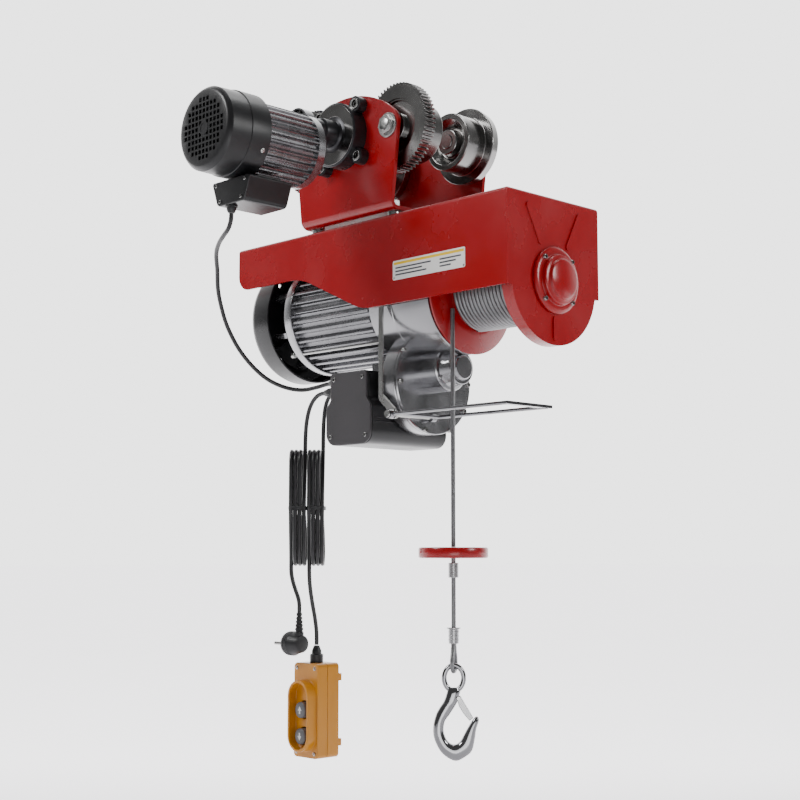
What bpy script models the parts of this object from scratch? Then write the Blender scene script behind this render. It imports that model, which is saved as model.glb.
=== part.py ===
"""Electric wire rope hoist hanging from a motor trolley that rolls on an I-beam.

Lengths in this file are millimetres, and MM turns them into Blender's metres when a mesh is made.
The origin is the middle of the beam seat: z = 0 is the plane that the wheels roll on, +X runs along the
beam and the drum towards the hoist's end plate, -Y is the side with the travel motor, and +Z is up.
"""

import math

import bmesh
import bpy
import numpy as np
from mathutils import Matrix, Vector

MM = 0.001
GAP = 0.3  # running and seating clearance between neighbouring solids

# Colours, roughness and metallic value of each material
PAINTS = {
    "red_paint": ((0.55, 0.01, 0.02), 0.25, 0.0),
    "black_cover": ((0.012, 0.012, 0.013), 0.25, 0.0),
    "grey_cover": ((0.14, 0.13, 0.14), 0.35, 0.0),
    "silver_casting": ((0.55, 0.55, 0.56), 0.35, 0.9),
    "bright_steel": ((0.62, 0.62, 0.63), 0.2, 1.0),
    "dark_steel": ((0.12, 0.12, 0.13), 0.35, 1.0),
    "rope_steel": ((0.3, 0.3, 0.31), 0.4, 0.9),
    "yellow_plastic": ((0.71, 0.35, 0.03), 0.4, 0.0),
    "button_grey": ((0.16, 0.16, 0.17), 0.4, 0.0),
    "rubber": ((0.012, 0.012, 0.012), 0.5, 0.0),
}

# Trolley
PLATE_FACE_Y = 90
PLATE_THICK = 6
WHEEL_X = 87
WHEEL_Z = 41
TREAD_RADIUS = 41
AXLE_RADIUS = 10
FOOT_TOP_Z = -68
FOOT_BOTTOM_Z = -74
BOLT_X = 78
BOLT_Y = 70
WHEEL_TEETH = 60
TRAVEL_PINION_TEETH = 27
TRAVEL_MODULE = 2
GEAR_FRONT_Y = -78
GEAR_BACK_Y = -60

# Travel drive, on axes along Y
TRAVEL_MOTOR_Z = 5
TRANSFER_TEETH = 12
TRANSFER_MODULE = 3
TRANSFER_SPAN = (-177, -168)
GEAR_HOUSING_RADIUS = 45
OUTPUT_SHAFT_RADIUS = 6

# Hoist frame
FRAME_LEFT_X = -237
FRAME_RIGHT_X = 300
FRAME_Y = 90
FRAME_TOP_Z = -82
FRAME_SHEET = 3
FRAME_DEEP_Z = -204.5
FRAME_SHALLOW_Z = -144.5
END_DISC_RADIUS = 83
END_RIM_DEPTH = 17

# Drum line, an axis along X
DRUM_Z = -190
DRUM_SHAFT_RADIUS = 12
FLANGE_RADIUS = 80
CORE_RADIUS = 45
WINDING_RADIUS = 51
WINDING_LEFT_X = 163
WINDING_RIGHT_X = 281

# Gearbox: two stages between the drum line and a lower shaft
LOWER_SHAFT_Z = -286
LOWER_COVER_Z = -302
CASE_SPLIT_X = 80
STAGE_MODULE = 4
ROTOR_PINION_TEETH = 21
FIRST_GEAR_TEETH = 27
SECOND_PINION_TEETH = 12
DRUM_GEAR_TEETH = 36
FIRST_STAGE_SPAN = (61, 73)
SECOND_STAGE_SPAN = (99, 115)

# Rope and hook
ROPE_X = 166
ROPE_Y = -48
ROPE_RADIUS = 3
ROPE_BORE = 3.4
ROPE_TOP_Z = -215  # below here the rope is clear of the winding it leaves
STOP_DISC_TOP_Z = -527
LINK_Z = -685
HOOK_YAW = math.radians(45)
LATCH_PIN = (5.6, -718.5)

# Limit fork
FORK_PIVOT_X = 93
FORK_Z = -352
FORK_FRONT_Y = -90
FORK_BACK_Y = -12
FORK_ROD_RADIUS = 2.5

# Pendant
PENDANT_X = -99.5
PENDANT_Y = -50.5
PENDANT_TOP_Z = -688
PENDANT_BOTTOM_Z = -818
BUTTON_Z = (-752, -788)

# Cords
LEAD_RADIUS = 3
CORD_STEP = 13
LEAD_EXITS = ((-69, -298), (-78.5, -312), (-60, -312))
TRAVEL_LEAD_ROUTE = [
    (-8, -280, -96.5), (-9, -280, -106), (-17, -278, -115), (-34, -273, -121), (-56, -264, -127),
    (-77, -252, -136),
    (-97, -235, -152), (-116, -219, -175), (-129, -202, -199), (-136, -186, -222), (-139, -165, -248),
    (-138, -141, -271), (-131, -118, -289), (-117, -97, -300), (-98, -82, -304), (-78, -72, -301),
    (-63, -69.2, -298.4), (-52.8, -69, -298),
]
MAINS_UPPER_ROUTE = [
    (-52.8, -78.5, -312), (-60, -78.5, -312.2), (-71, -78.3, -315), (-83, -77.5, -322.5),
    (-94, -76, -334.5), (-102, -74, -351), (-106, -72, -369), (-107, -70.7, -387.5),
]
MAINS_LOWER_ROUTE = [
    (-107, -89.3, -553.5), (-106.9, -88.8, -563), (-106, -86.3, -575), (-104.3, -82.6, -587),
    (-103.2, -80.4, -597), (-103, -80, -606), (-103, -80, -617.6),
]
PENDANT_UPPER_ROUTE = [
    (-52.8, -60, -312), (-58, -60, -312.3), (-65.5, -60.3, -316), (-72.5, -61, -326), (-77, -61.8, -341),
    (-79.5, -62.7, -360), (-80, -63.1, -387.5),
]
PENDANT_LOWER_ROUTE = [
    (-80, -44.5, -553.5), (-80.5, -44.5, -568), (-83, -45, -585), (-88, -46.5, -605),
    (-94, -48.7, -625), (-98.5, -50.2, -643), (-99.5, -50.5, -655), (-99.5, -50.5, -663.5),
]
MAINS_HANK = (-107, -80)
PENDANT_HANK = (-80, -53.8)
HANK_WIDTH = 42.4
HANK_DEPTH = 25
HANK_TOP_Z = -388
HANK_BOTTOM_Z = -553


# Meshes

def point(axis, first, second, along):
    """A point from its coordinate along axis and the two other coordinates, in x, y, z order."""
    if axis == "X":
        return (along, first, second)
    if axis == "Y":
        return (first, along, second)
    return (first, second, along)


def prism(outline, axis, low, high):
    """A closed outline of two coordinates each, swept along axis from low to high."""
    mesh = bmesh.new()
    ends = [[mesh.verts.new(point(axis, a, b, along)) for a, b in outline] for along in (low, high)]
    for end in ends:
        mesh.faces.new(end)
    for i in range(len(outline)):
        j = (i + 1) % len(outline)
        mesh.faces.new((ends[0][i], ends[0][j], ends[1][j], ends[1][i]))
    bmesh.ops.recalc_face_normals(mesh, faces=mesh.faces)
    return mesh


def block(low, high):
    """A box between two corners."""
    outline = [(low[0], low[1]), (high[0], low[1]), (high[0], high[1]), (low[0], high[1])]
    return prism(outline, "Z", low[2], high[2])


def turned(section, axis, centre, steps):
    """A closed section of (along, radius) points turned about a line along axis through centre."""
    mesh = bmesh.new()
    rings = []
    for along, radius in section:
        if radius == 0:
            rings.append([mesh.verts.new(point(axis, centre[0], centre[1], along))] * steps)
            continue
        angles = [2 * math.pi * k / steps for k in range(steps)]
        rings.append([
            mesh.verts.new(point(
                axis, centre[0] + radius * math.cos(t), centre[1] + radius * math.sin(t), along))
            for t in angles
        ])
    for i, before in enumerate(rings):
        after = rings[(i + 1) % len(rings)]
        for k in range(steps):
            m = (k + 1) % steps
            corners = list(dict.fromkeys((before[k], before[m], after[m], after[k])))
            if len(corners) > 2:
                mesh.faces.new(corners)
    bmesh.ops.recalc_face_normals(mesh, faces=mesh.faces)
    return mesh


def cylinder(axis, centre, radius, low, high, steps=32):
    """A plain round bar."""
    return turned([(low, 0), (low, radius), (high, radius), (high, 0)], axis, centre, steps)


def ring(axis, centre, inner, outer, low, high, steps=32):
    """A plain tube."""
    return turned([(low, inner), (low, outer), (high, outer), (high, inner)], axis, centre, steps)


def rounded(corners, steps=5):
    """A polygon of (a, b, radius) corners with each corner replaced by an arc of that radius."""
    outline = []
    for i, (a, b, radius) in enumerate(corners):
        here = Vector((a, b))
        before = (Vector(corners[i - 1][:2]) - here).normalized()
        after = (Vector(corners[(i + 1) % len(corners)][:2]) - here).normalized()
        if radius == 0:
            outline.append((a, b))
            continue
        half = before.angle(after) / 2
        centre = here + (before + after).normalized() * (radius / math.sin(half))
        start = here + before * (radius / math.tan(half)) - centre
        end = here + after * (radius / math.tan(half)) - centre
        sweep = start.angle_signed(end)
        for k in range(steps + 1):
            turn = -sweep * k / steps
            outline.append((
                centre.x + start.x * math.cos(turn) - start.y * math.sin(turn),
                centre.y + start.x * math.sin(turn) + start.y * math.cos(turn),
            ))
    return outline


def rounded_box(a_low, a_high, b_low, b_high, radius, steps=4):
    """A rectangle's outline with equal round corners."""
    corners = [(a_low, b_low), (a_high, b_low), (a_high, b_high), (a_low, b_high)]
    return rounded([(a, b, radius) for a, b in corners], steps)


def gear_outline(teeth, module, centre, first_tooth):
    """A spur gear's outline, with its first tooth at the angle given."""
    root = (teeth / 2 - 1.25) * module
    tip = (teeth / 2 + 0.8) * module
    outline = []
    for tooth in range(teeth):
        for share, radius in ((-0.27, root), (-0.12, tip), (0.12, tip), (0.27, root)):
            angle = first_tooth + 2 * math.pi * (tooth + share) / teeth
            outline.append((centre[0] + radius * math.cos(angle), centre[1] + radius * math.sin(angle)))
    return outline


def sweep_curve(points, spacing):
    """Points a fixed distance apart on the smooth curve through the route's points."""
    route = np.array(points, float)
    padded = np.vstack([2 * route[0] - route[1], route, 2 * route[-1] - route[-2]])
    dense = []
    for p0, p1, p2, p3 in zip(padded, padded[1:], padded[2:], padded[3:]):
        for t in np.linspace(0, 1, 12, endpoint=False):
            dense.append(0.5 * (
                2 * p1 + (p2 - p0) * t + (2 * p0 - 5 * p1 + 4 * p2 - p3) * t**2
                + (3 * p1 - p0 - 3 * p2 + p3) * t**3))
    dense.append(route[-1])
    dense = np.array(dense)
    run = np.concatenate([[0], np.cumsum(np.linalg.norm(np.diff(dense, axis=0), axis=1))])
    stations = np.linspace(0, run[-1], max(3, round(run[-1] / spacing) + 1))
    return np.stack([np.interp(stations, run, dense[:, k]) for k in range(3)], axis=1)


# Objects

def paint(name):
    """The material of that name, made once."""
    if name in bpy.data.materials:
        return bpy.data.materials[name]
    colour, roughness, metallic = PAINTS[name]
    material = bpy.data.materials.new(name)
    material.use_nodes = True
    shader = material.node_tree.nodes["Principled BSDF"]
    shader.inputs["Base Color"].default_value = (*colour, 1)
    shader.inputs["Roughness"].default_value = roughness
    shader.inputs["Metallic"].default_value = metallic
    material.diffuse_color = (*colour, 1)
    return material


def solid(name, mesh, material, origin=(0, 0, 0)):
    """An object of this mesh, in metres, with its origin at a point given in millimetres."""
    data = bpy.data.meshes.new(name)
    mesh.transform(Matrix.Scale(MM, 4) @ Matrix.Translation(-Vector(origin)))
    mesh.to_mesh(data)
    mesh.free()
    data.shade_smooth()
    data.set_sharp_from_angle(angle=math.radians(35))
    data.materials.append(paint(material))
    made = bpy.data.objects.new(name, data)
    made.location = Vector(origin) * MM
    bpy.context.scene.collection.objects.link(made)
    return made


def combine(target, operation, mesh):
    """A Boolean of this mesh on the target, which keeps the tool as a hidden guide."""
    tool = solid(f"{target.name}.{operation.lower()}{len(target.modifiers)}", mesh, "dark_steel")
    tool.hide_render = True
    tool.display_type = "WIRE"
    modifier = target.modifiers.new(tool.name, "BOOLEAN")
    modifier.operation = operation
    modifier.object = tool
    modifier.solver = "EXACT"


def cut(target, mesh):
    combine(target, "DIFFERENCE", mesh)


def join(target, mesh):
    combine(target, "UNION", mesh)


def tube(name, points, radius, material, rounds=2):
    """A round cord along points, as a curve with a bevel and closed ends."""
    data = bpy.data.curves.new(name, "CURVE")
    data.dimensions = "3D"
    spline = data.splines.new("POLY")
    spline.points.add(len(points) - 1)
    for target, place in zip(spline.points, points):
        target.co = (*(Vector(place) * MM), 1)
    data.bevel_depth = radius * MM
    data.bevel_resolution = rounds
    data.use_fill_caps = True
    data.materials.append(paint(material))
    made = bpy.data.objects.new(name, data)
    bpy.context.scene.collection.objects.link(made)
    return made


# Trolley

def make_side_plate(name, side):
    """A trolley side plate: an arched plate whose bottom is bent in to a foot."""
    outer = side * PLATE_FACE_Y
    inner = side * (PLATE_FACE_Y - PLATE_THICK)
    bend = 12
    foot_end = side * 50
    profile = [(inner, 110), (outer, 110)]
    for k in range(5):
        turn = math.pi / 2 * k / 4
        across = PLATE_FACE_Y - bend + bend * math.cos(turn)
        profile.append((side * across, FOOT_BOTTOM_Z + bend - bend * math.sin(turn)))
    profile.append((foot_end, FOOT_BOTTOM_Z))
    profile.append((foot_end, FOOT_TOP_Z))
    for k in range(5):
        turn = math.pi / 2 * (1 - k / 4)
        across = PLATE_FACE_Y - bend + (bend - PLATE_THICK) * math.cos(turn)
        profile.append((side * across, FOOT_BOTTOM_Z + bend - (bend - PLATE_THICK) * math.sin(turn)))
    plate = solid(name, prism(profile, "X", -120, 120), "red_paint")
    arch_radius = 149.7
    arch_centre = 98 - arch_radius
    reach = math.asin(100 / arch_radius)
    arch = []
    for k in range(13):
        turn = reach * (1 - 2 * k / 12)
        arch.append((arch_radius * math.sin(turn), arch_centre + arch_radius * math.cos(turn)))
    outline = [(-92, -78), (92, -78), (106.5, 47)] + arch + [(-106.5, 47)]
    combine(plate, "INTERSECT", prism(outline, "Y", min(0, side * 120), max(0, side * 120)))
    for x in (-WHEEL_X, WHEEL_X):
        cut(plate, cylinder("Y", (x, WHEEL_Z), AXLE_RADIUS + GAP, *sorted((side * 80, side * 95)), 24))
        cut(plate, cylinder("Z", (x / WHEEL_X * BOLT_X, side * BOLT_Y), 5 + GAP, -80, -60, 16))
    return plate


def make_axle(name, x, side):
    """An axle with a domed head outside the plate, on which the wheel runs."""
    section = [(99, 0), (97, 10), (90 + GAP, 15), (90 + GAP, AXLE_RADIUS), (24, AXLE_RADIUS), (24, 0)]
    section = [(side * along, radius) for along, radius in section]
    return solid(name, turned(section, "Y", (x, WHEEL_Z), 16), "bright_steel", (x, side * 60, WHEEL_Z))


def tread_section(inner_end, bore):
    """Half the section of a tread and hub with a dished web, for a wheel on the +Y side."""
    return [
        (79, bore), (79, 20), (inner_end, 20), (inner_end, TREAD_RADIUS), (25, TREAD_RADIUS), (25, 32),
        (36, 20), (25, 18), (25, bore),
    ]


def make_drive_wheel(name, x, first_tooth):
    """A wheel whose flange is a gear with a recessed face."""
    centre = (x, WHEEL_Z)
    teeth = gear_outline(WHEEL_TEETH, TRAVEL_MODULE, centre, first_tooth)
    rim = prism(teeth, "Y", GEAR_FRONT_Y + 1, GEAR_BACK_Y)
    wheel = solid(name, rim, "bright_steel", (x, -60, WHEEL_Z))
    cut(wheel, cylinder("Y", centre, 40, -90, -73, 20))
    section = [(-along, radius) for along, radius in tread_section(66, AXLE_RADIUS - 2)]
    join(wheel, turned(section, "Y", centre, 18))
    cut(wheel, cylinder("Y", centre, AXLE_RADIUS + GAP, -90, -20, 16))
    return wheel


def make_idler_wheel(name, x):
    """A wheel with a plain flange outside the beam's edge."""
    bore = AXLE_RADIUS + GAP
    section = tread_section(70, bore)
    section[3:4] = [(70, 38), (75, 42), (75, 52), (60, 55), (60, TREAD_RADIUS)]
    return solid(name, turned(section, "Y", (x, WHEEL_Z), 18), "bright_steel", (x, 60, WHEEL_Z))


def make_trolley():
    make_side_plate("trolley_plate_front", -1)
    make_side_plate("trolley_plate_rear", 1)
    cut(bpy.data.objects["trolley_plate_front"], cylinder("Y", (0, WHEEL_Z), 8, -95, -80, 20))
    for label, x in (("left", -WHEEL_X), ("right", WHEEL_X)):
        make_axle(f"axle_front_{label}", x, -1)
        make_axle(f"axle_rear_{label}", x, 1)
        make_idler_wheel(f"idler_wheel_{label}", x)
    make_drive_wheel("drive_wheel_left", -WHEEL_X, 0)
    make_drive_wheel("drive_wheel_right", WHEEL_X, math.pi / WHEEL_TEETH)


def hanger_stud(x, y):
    """A stud in the frame's top: its head below, a shoulder under the trolley's foot, a shank above."""
    head, shank = 9, 5
    frame_under = FRAME_TOP_Z - FRAME_SHEET
    section = [
        (frame_under - 8, 0), (frame_under - 8, head), (frame_under, head), (FRAME_TOP_Z, head),
        (FOOT_BOTTOM_Z - GAP, head), (FOOT_BOTTOM_Z - GAP, shank), (FOOT_TOP_Z + 13, shank),
        (FOOT_TOP_Z + 13, 0),
    ]
    return turned(section, "Z", (x, y), 8)


# Travel drive

def make_travel_pinion():
    centre = (0, WHEEL_Z)
    teeth = gear_outline(TRAVEL_PINION_TEETH, TRAVEL_MODULE, centre, 0)
    mesh = prism(teeth, "Y", GEAR_FRONT_Y + 1, GEAR_BACK_Y)
    pinion = solid("travel_pinion", mesh, "dark_steel", (0, -69, WHEEL_Z))
    cut(pinion, cylinder("Y", centre, OUTPUT_SHAFT_RADIUS + GAP, -90, -50, 20))
    bar = cylinder("Y", centre, OUTPUT_SHAFT_RADIUS, -177.6, -56, 16)
    shaft = solid("travel_output_shaft", bar, "bright_steel", (0, -110, WHEEL_Z))
    gap_down = -math.pi / 2 + math.pi / TRANSFER_TEETH
    join(shaft, prism(gear_outline(TRANSFER_TEETH, TRANSFER_MODULE, centre, gap_down), "Y", *TRANSFER_SPAN))


def make_travel_gear_housing():
    """The round reduction housing on the front plate, with its stepped neck towards the motor."""
    centre = (0, WHEEL_Z)
    back = -PLATE_FACE_Y - GAP
    bore = OUTPUT_SHAFT_RADIUS + GAP
    section = [
        (-164 + GAP, bore), (-164 + GAP, 16), (-139, 16), (-137, 19), (-116, 19), (-113, 22),
        (-113, GEAR_HOUSING_RADIUS), (back, GEAR_HOUSING_RADIUS), (back, 38), (-109, 38), (-109, bore),
    ]
    mesh = turned(section, "Y", centre, 30)
    housing = solid("travel_gear_housing", mesh, "dark_steel", (0, -100, WHEEL_Z))
    for quarter in range(4):
        angle = math.radians(48 + 90 * quarter)
        x = 52 * math.cos(angle)
        z = WHEEL_Z + 52 * math.sin(angle)
        join(housing, cylinder("Y", (x, z), 11, -104, back - 0.2, 12))


def make_travel_motor():
    centre = (0, TRAVEL_MOTOR_Z)
    fins = gear_like_fins(centre, 28, 45, 50)
    mesh = prism(fins, "Y", -265, -180)
    body = solid("travel_motor_body", mesh, "silver_casting", (0, -222, TRAVEL_MOTOR_Z))
    cut(body, cylinder("Y", centre, 39, -270, -170, 32))
    bell = solid("travel_end_bell", ring("Y", centre, 8, 50, -180 + GAP, -164, 36), "silver_casting")
    join(bell, cylinder("Y", (0, WHEEL_Z), 23.5, -179, -164.4, 24))
    cut(bell, prism(stadium(centre, (0, WHEEL_Z), 21.2, 8), "Y", -185, -167.3))
    cut(bell, cylinder("Y", (0, WHEEL_Z), OUTPUT_SHAFT_RADIUS + GAP, -172, -160, 16))
    rotor = [
        (-322, 0), (-322, 5), (-253, 5), (-253, 25), (-197, 25), (-197, 5), (-166, 5), (-166, 0),
    ]
    armature = solid("travel_rotor", turned(rotor, "Y", centre, 14), "dark_steel", (0, -225, TRAVEL_MOTOR_Z))
    teeth = gear_outline(TRANSFER_TEETH, TRANSFER_MODULE, centre, math.pi / 2)
    join(armature, prism(teeth, "Y", *TRANSFER_SPAN))
    make_fan("travel_fan", "Y", centre, (-318, -306), 46, 5 + GAP, 4)
    cover = [
        (-332, 0), (-332, 50), (-329, 55), (-296, 56), (-295, 57), (-266, 57), (-266, 54.5),
        (-327, 52.5), (-329.5, 49), (-329.5, 0),
    ]
    mesh = turned(cover, "Y", centre, 30)
    shell = solid("travel_fan_cover", mesh, "black_cover", (0, -300, TRAVEL_MOTOR_Z))
    cut_grille(shell, "Y", centre, (-336, -326), 38, 9, 13)


def gear_like_fins(centre, count, root, tip):
    """The outline of a body with straight cooling fins."""
    outline = []
    for fin in range(count):
        for share, radius in ((-0.3, root), (-0.2, tip), (0.2, tip), (0.3, root)):
            angle = 2 * math.pi * (fin + share) / count
            outline.append((centre[0] + radius * math.cos(angle), centre[1] + radius * math.sin(angle)))
    return outline


def radial_corners(centre, angle, corners):
    """Corners given as (outward, sideways) from a centre, turned to an angle."""
    out, side = Vector((math.cos(angle), math.sin(angle))), Vector((-math.sin(angle), math.cos(angle)))
    return [tuple(Vector(centre) + out * r + side * s) for r, s in corners]


def make_fan(name, axis, centre, span, radius, bore, blades):
    """A cooling fan: a hub, a back disc and flat radial blades."""
    low, high = span
    disc_low = low + 0.5
    fan = solid(name, ring(axis, centre, bore, bore + 6, low, high, 12), "black_cover")
    join(fan, ring(axis, centre, bore + 3, radius, disc_low, disc_low + 2, 18))
    for blade in range(blades):
        angle = 2 * math.pi * blade / blades
        blade_plan = ((bore + 4, -1), (radius - 1, -1), (radius - 1, 1), (bore + 4, 1))
        join(fan, prism(radial_corners(centre, angle, blade_plan), axis, disc_low + 1, high - 0.5))


def cut_grille(shell, axis, centre, span, reach, hole, pitch):
    """A grid of square air holes within a round field, around a closed middle."""
    count = int(reach // pitch)
    for row in range(-count, count + 1):
        for column in range(-count, count + 1):
            a, b = row * pitch, column * pitch
            far = math.hypot(a, b)
            if far > reach or far < pitch * 1.1:
                continue
            a, b = centre[0] + a, centre[1] + b
            outline = [(a - hole / 2, b - hole / 2), (a + hole / 2, b - hole / 2),
                       (a + hole / 2, b + hole / 2), (a - hole / 2, b + hole / 2)]
            cut(shell, prism(outline, axis, *span))


def make_travel_terminal_box():
    """The capacitor box under the travel motor, and the gland that its lead leaves by."""
    outline = rounded([(-40, -52.8, 3), (-28, -86, 8), (28, -86, 8), (40, -52.8, 3)])
    box = solid("travel_terminal_box", prism(outline, "Y", -288, -217), "black_cover")
    join(box, block((-22, -262, -60), (22, -222, TRAVEL_MOTOR_Z - 50 - GAP)))
    cut(box, block((-24, -284, -80), (24, -221, -57)))
    cut(box, cylinder("Z", (0, -242), 6, -62, -40, 12))
    nose = [(-96 + GAP, 0), (-96 + GAP, 4.5), (-92, 6), (-84, 6), (-84, 0)]
    join(box, turned(nose, "Z", (-8, -280), 20))


# Hoist frame and drum

def make_hoist_frame():
    """The red channel: one sheet folded over the top, with a deep end that holds the drum's bearing."""
    left, right, top = FRAME_LEFT_X, FRAME_RIGHT_X, FRAME_TOP_Z
    side = rounded([
        (left, top, 4), (left, FRAME_SHALLOW_Z, 22), (-95, FRAME_SHALLOW_Z, 110),
        (35, FRAME_DEEP_Z, 80), (right, FRAME_DEEP_Z, 0), (right, top, 4),
    ])
    frame = solid("hoist_frame", prism(side, "Y", -FRAME_Y, FRAME_Y), "red_paint")
    section = rounded([
        (-FRAME_Y, -300, 0), (FRAME_Y, -300, 0), (FRAME_Y, top, 5), (-FRAME_Y, top, 5),
    ])
    combine(frame, "INTERSECT", prism(section, "X", left - 5, right + 5))
    inner_y = FRAME_Y - FRAME_SHEET
    cut(frame, block((left - 10, -inner_y, -320), (right - FRAME_SHEET, inner_y, top - FRAME_SHEET)))
    join(frame, cylinder("X", (0, DRUM_Z), END_DISC_RADIUS, right - FRAME_SHEET, right, 48))
    rim = ring(
        "X", (0, DRUM_Z), END_DISC_RADIUS - FRAME_SHEET, END_DISC_RADIUS, right - END_RIM_DEPTH, right - 1, 48)
    rim_guide = solid("hoist_frame_rim", rim, "red_paint")
    cut(rim_guide, block((right - 40, -100, FRAME_DEEP_Z + 0.5), (right + 20, 100, -80)))
    rim_guide.hide_render = True
    rim_guide.display_type = "WIRE"
    add_rim = frame.modifiers.new("rim", "BOOLEAN")
    add_rim.operation = "UNION"
    add_rim.object = rim_guide
    pressed_ribs = (((-50, -100), (-27, -143)), ((50, -100), (27, -143)), ((0, -240), (0, -263)))
    for start, end in pressed_ribs:
        join(frame, prism(stadium(start, end, 4.5), "X", right - 1, right + 2))
    cut(frame, cylinder("X", (0, DRUM_Z), DRUM_SHAFT_RADIUS + 2, right - 10, right + 10, 24))
    for x in (-BOLT_X, BOLT_X):
        for y in (-BOLT_Y, BOLT_Y):
            join(frame, hanger_stud(x, y))
    return frame


def stadium(start, end, radius, steps=6):
    """The outline of a slot between two centres."""
    run = math.atan2(end[1] - start[1], end[0] - start[0])
    outline = []
    for centre, facing in ((end, run - math.pi / 2), (start, run + math.pi / 2)):
        for k in range(steps + 1):
            angle = facing + math.pi * k / steps
            outline.append((centre[0] + radius * math.cos(angle), centre[1] + radius * math.sin(angle)))
    return outline


def make_end_bearing():
    centre = (0, DRUM_Z)
    face = FRAME_RIGHT_X + GAP
    bore = DRUM_SHAFT_RADIUS + GAP
    boss = [
        (face, bore), (face, 43), (face + 4, 43), (face + 6, 40), (face + 6, 33), (face + 12, 32),
        (face + 13, 26), (face + 18, 24), (face + 18, 0), (face + 15, 0), (face + 15, bore),
    ]
    solid("end_bearing_housing", turned(boss, "X", centre, 26), "red_paint", (300, 0, DRUM_Z))


def make_drum():
    """The spool: a dished left flange, a hollow core and a right web keyed to the shaft."""
    bore = DRUM_SHAFT_RADIUS + GAP
    section = [
        (153, FLANGE_RADIUS), (156.5, FLANGE_RADIUS), (161, 54), (161, CORE_RADIUS),
        (282.5, CORE_RADIUS), (282.5, 76), (286, 76), (286, bore), (276, bore), (276, CORE_RADIUS - 4),
        (157, CORE_RADIUS - 4),
    ]
    solid("rope_drum", turned(section, "X", (0, DRUM_Z), 32), "red_paint", (166, 0, DRUM_Z))
    winding = ring("X", (0, DRUM_Z), CORE_RADIUS + GAP, WINDING_RADIUS, WINDING_LEFT_X, WINDING_RIGHT_X, 28)
    solid("rope_winding", winding, "rope_steel", (166, 0, DRUM_Z))
    shaft = cylinder("X", (0, DRUM_Z), DRUM_SHAFT_RADIUS, 94, FRAME_RIGHT_X + 14, 20)
    solid("drum_shaft", shaft, "bright_steel", (200, 0, DRUM_Z))


# Gearbox

def make_gearbox():
    drum_line = (0, DRUM_Z)
    case = solid("gearbox_case", cylinder("X", drum_line, 79, 35, CASE_SPLIT_X, 36), "silver_casting")
    join(case, cylinder("X", (0, LOWER_COVER_Z), 72, 55, CASE_SPLIT_X - 0.2, 36))
    cut(case, cylinder("X", drum_line, 76, 56, CASE_SPLIT_X + 5, 28))
    cut(case, cylinder("X", (0, LOWER_COVER_Z), 69, 58, CASE_SPLIT_X + 5, 28))
    cut(case, cylinder("X", drum_line, 9, 30, 60, 20))
    face = CASE_SPLIT_X + GAP
    hole = DRUM_SHAFT_RADIUS + 2
    drum_side = [
        (face, 76.5), (face, 79), (149, 79), (150, 78), (150, 62), (135, 62), (135, hole), (131, hole),
        (131, 76.5),
    ]
    cover = solid("gearbox_cover", turned(drum_side, "X", drum_line, 40), "silver_casting")
    join(cover, cylinder("X", (0, LOWER_COVER_Z), 72, face + 0.2, 85, 38))
    boss = [
        (face + 0.4, 0), (face + 0.4, 30.5), (118, 30.5), (120, 24), (137, 23), (137, 18), (142, 16),
        (142, 0),
    ]
    join(cover, turned(boss, "X", (0, LOWER_SHAFT_Z), 20))
    join(cover, block((90, -40, -114), (130, 40, FRAME_TOP_Z - FRAME_SHEET - GAP)))
    cut(cover, cylinder("X", drum_line, 76.3, face - 5, 130.6, 28))
    cut(cover, cylinder("X", (0, LOWER_SHAFT_Z), 28, face - 6, 117, 18))
    cut(cover, cylinder("X", (0, LOWER_SHAFT_Z), 8 + GAP, 110, 134, 12))


def stage_gear(teeth, centre, first_tooth, span):
    return prism(gear_outline(teeth, STAGE_MODULE, centre, first_tooth), "X", *span)


def make_gear_train():
    """The lower shaft with its pinion cut on it, the large gear on that shaft, and the drum's gear."""
    upper, lower = (0, DRUM_Z), (0, LOWER_SHAFT_Z)
    down = -math.pi / 2
    mesh = stage_gear(FIRST_GEAR_TEETH, lower, -down + math.pi / FIRST_GEAR_TEETH, FIRST_STAGE_SPAN)
    first = solid("first_stage_gear", mesh, "dark_steel", (67, *lower))
    cut(first, cylinder("X", lower, 8 + GAP, 50, 90, 12))
    shaft = solid("intermediate_shaft", cylinder("X", lower, 8, 59, 133, 12), "bright_steel", (96, *lower))
    join(shaft, stage_gear(SECOND_PINION_TEETH, lower, -down, SECOND_STAGE_SPAN))
    mesh = stage_gear(DRUM_GEAR_TEETH, upper, down + math.pi / DRUM_GEAR_TEETH, SECOND_STAGE_SPAN)
    drum_gear = solid("drum_gear", mesh, "dark_steel", (107, *upper))
    cut(drum_gear, cylinder("X", upper, DRUM_SHAFT_RADIUS + GAP, 90, 130, 16))


# Hoist motor

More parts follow.
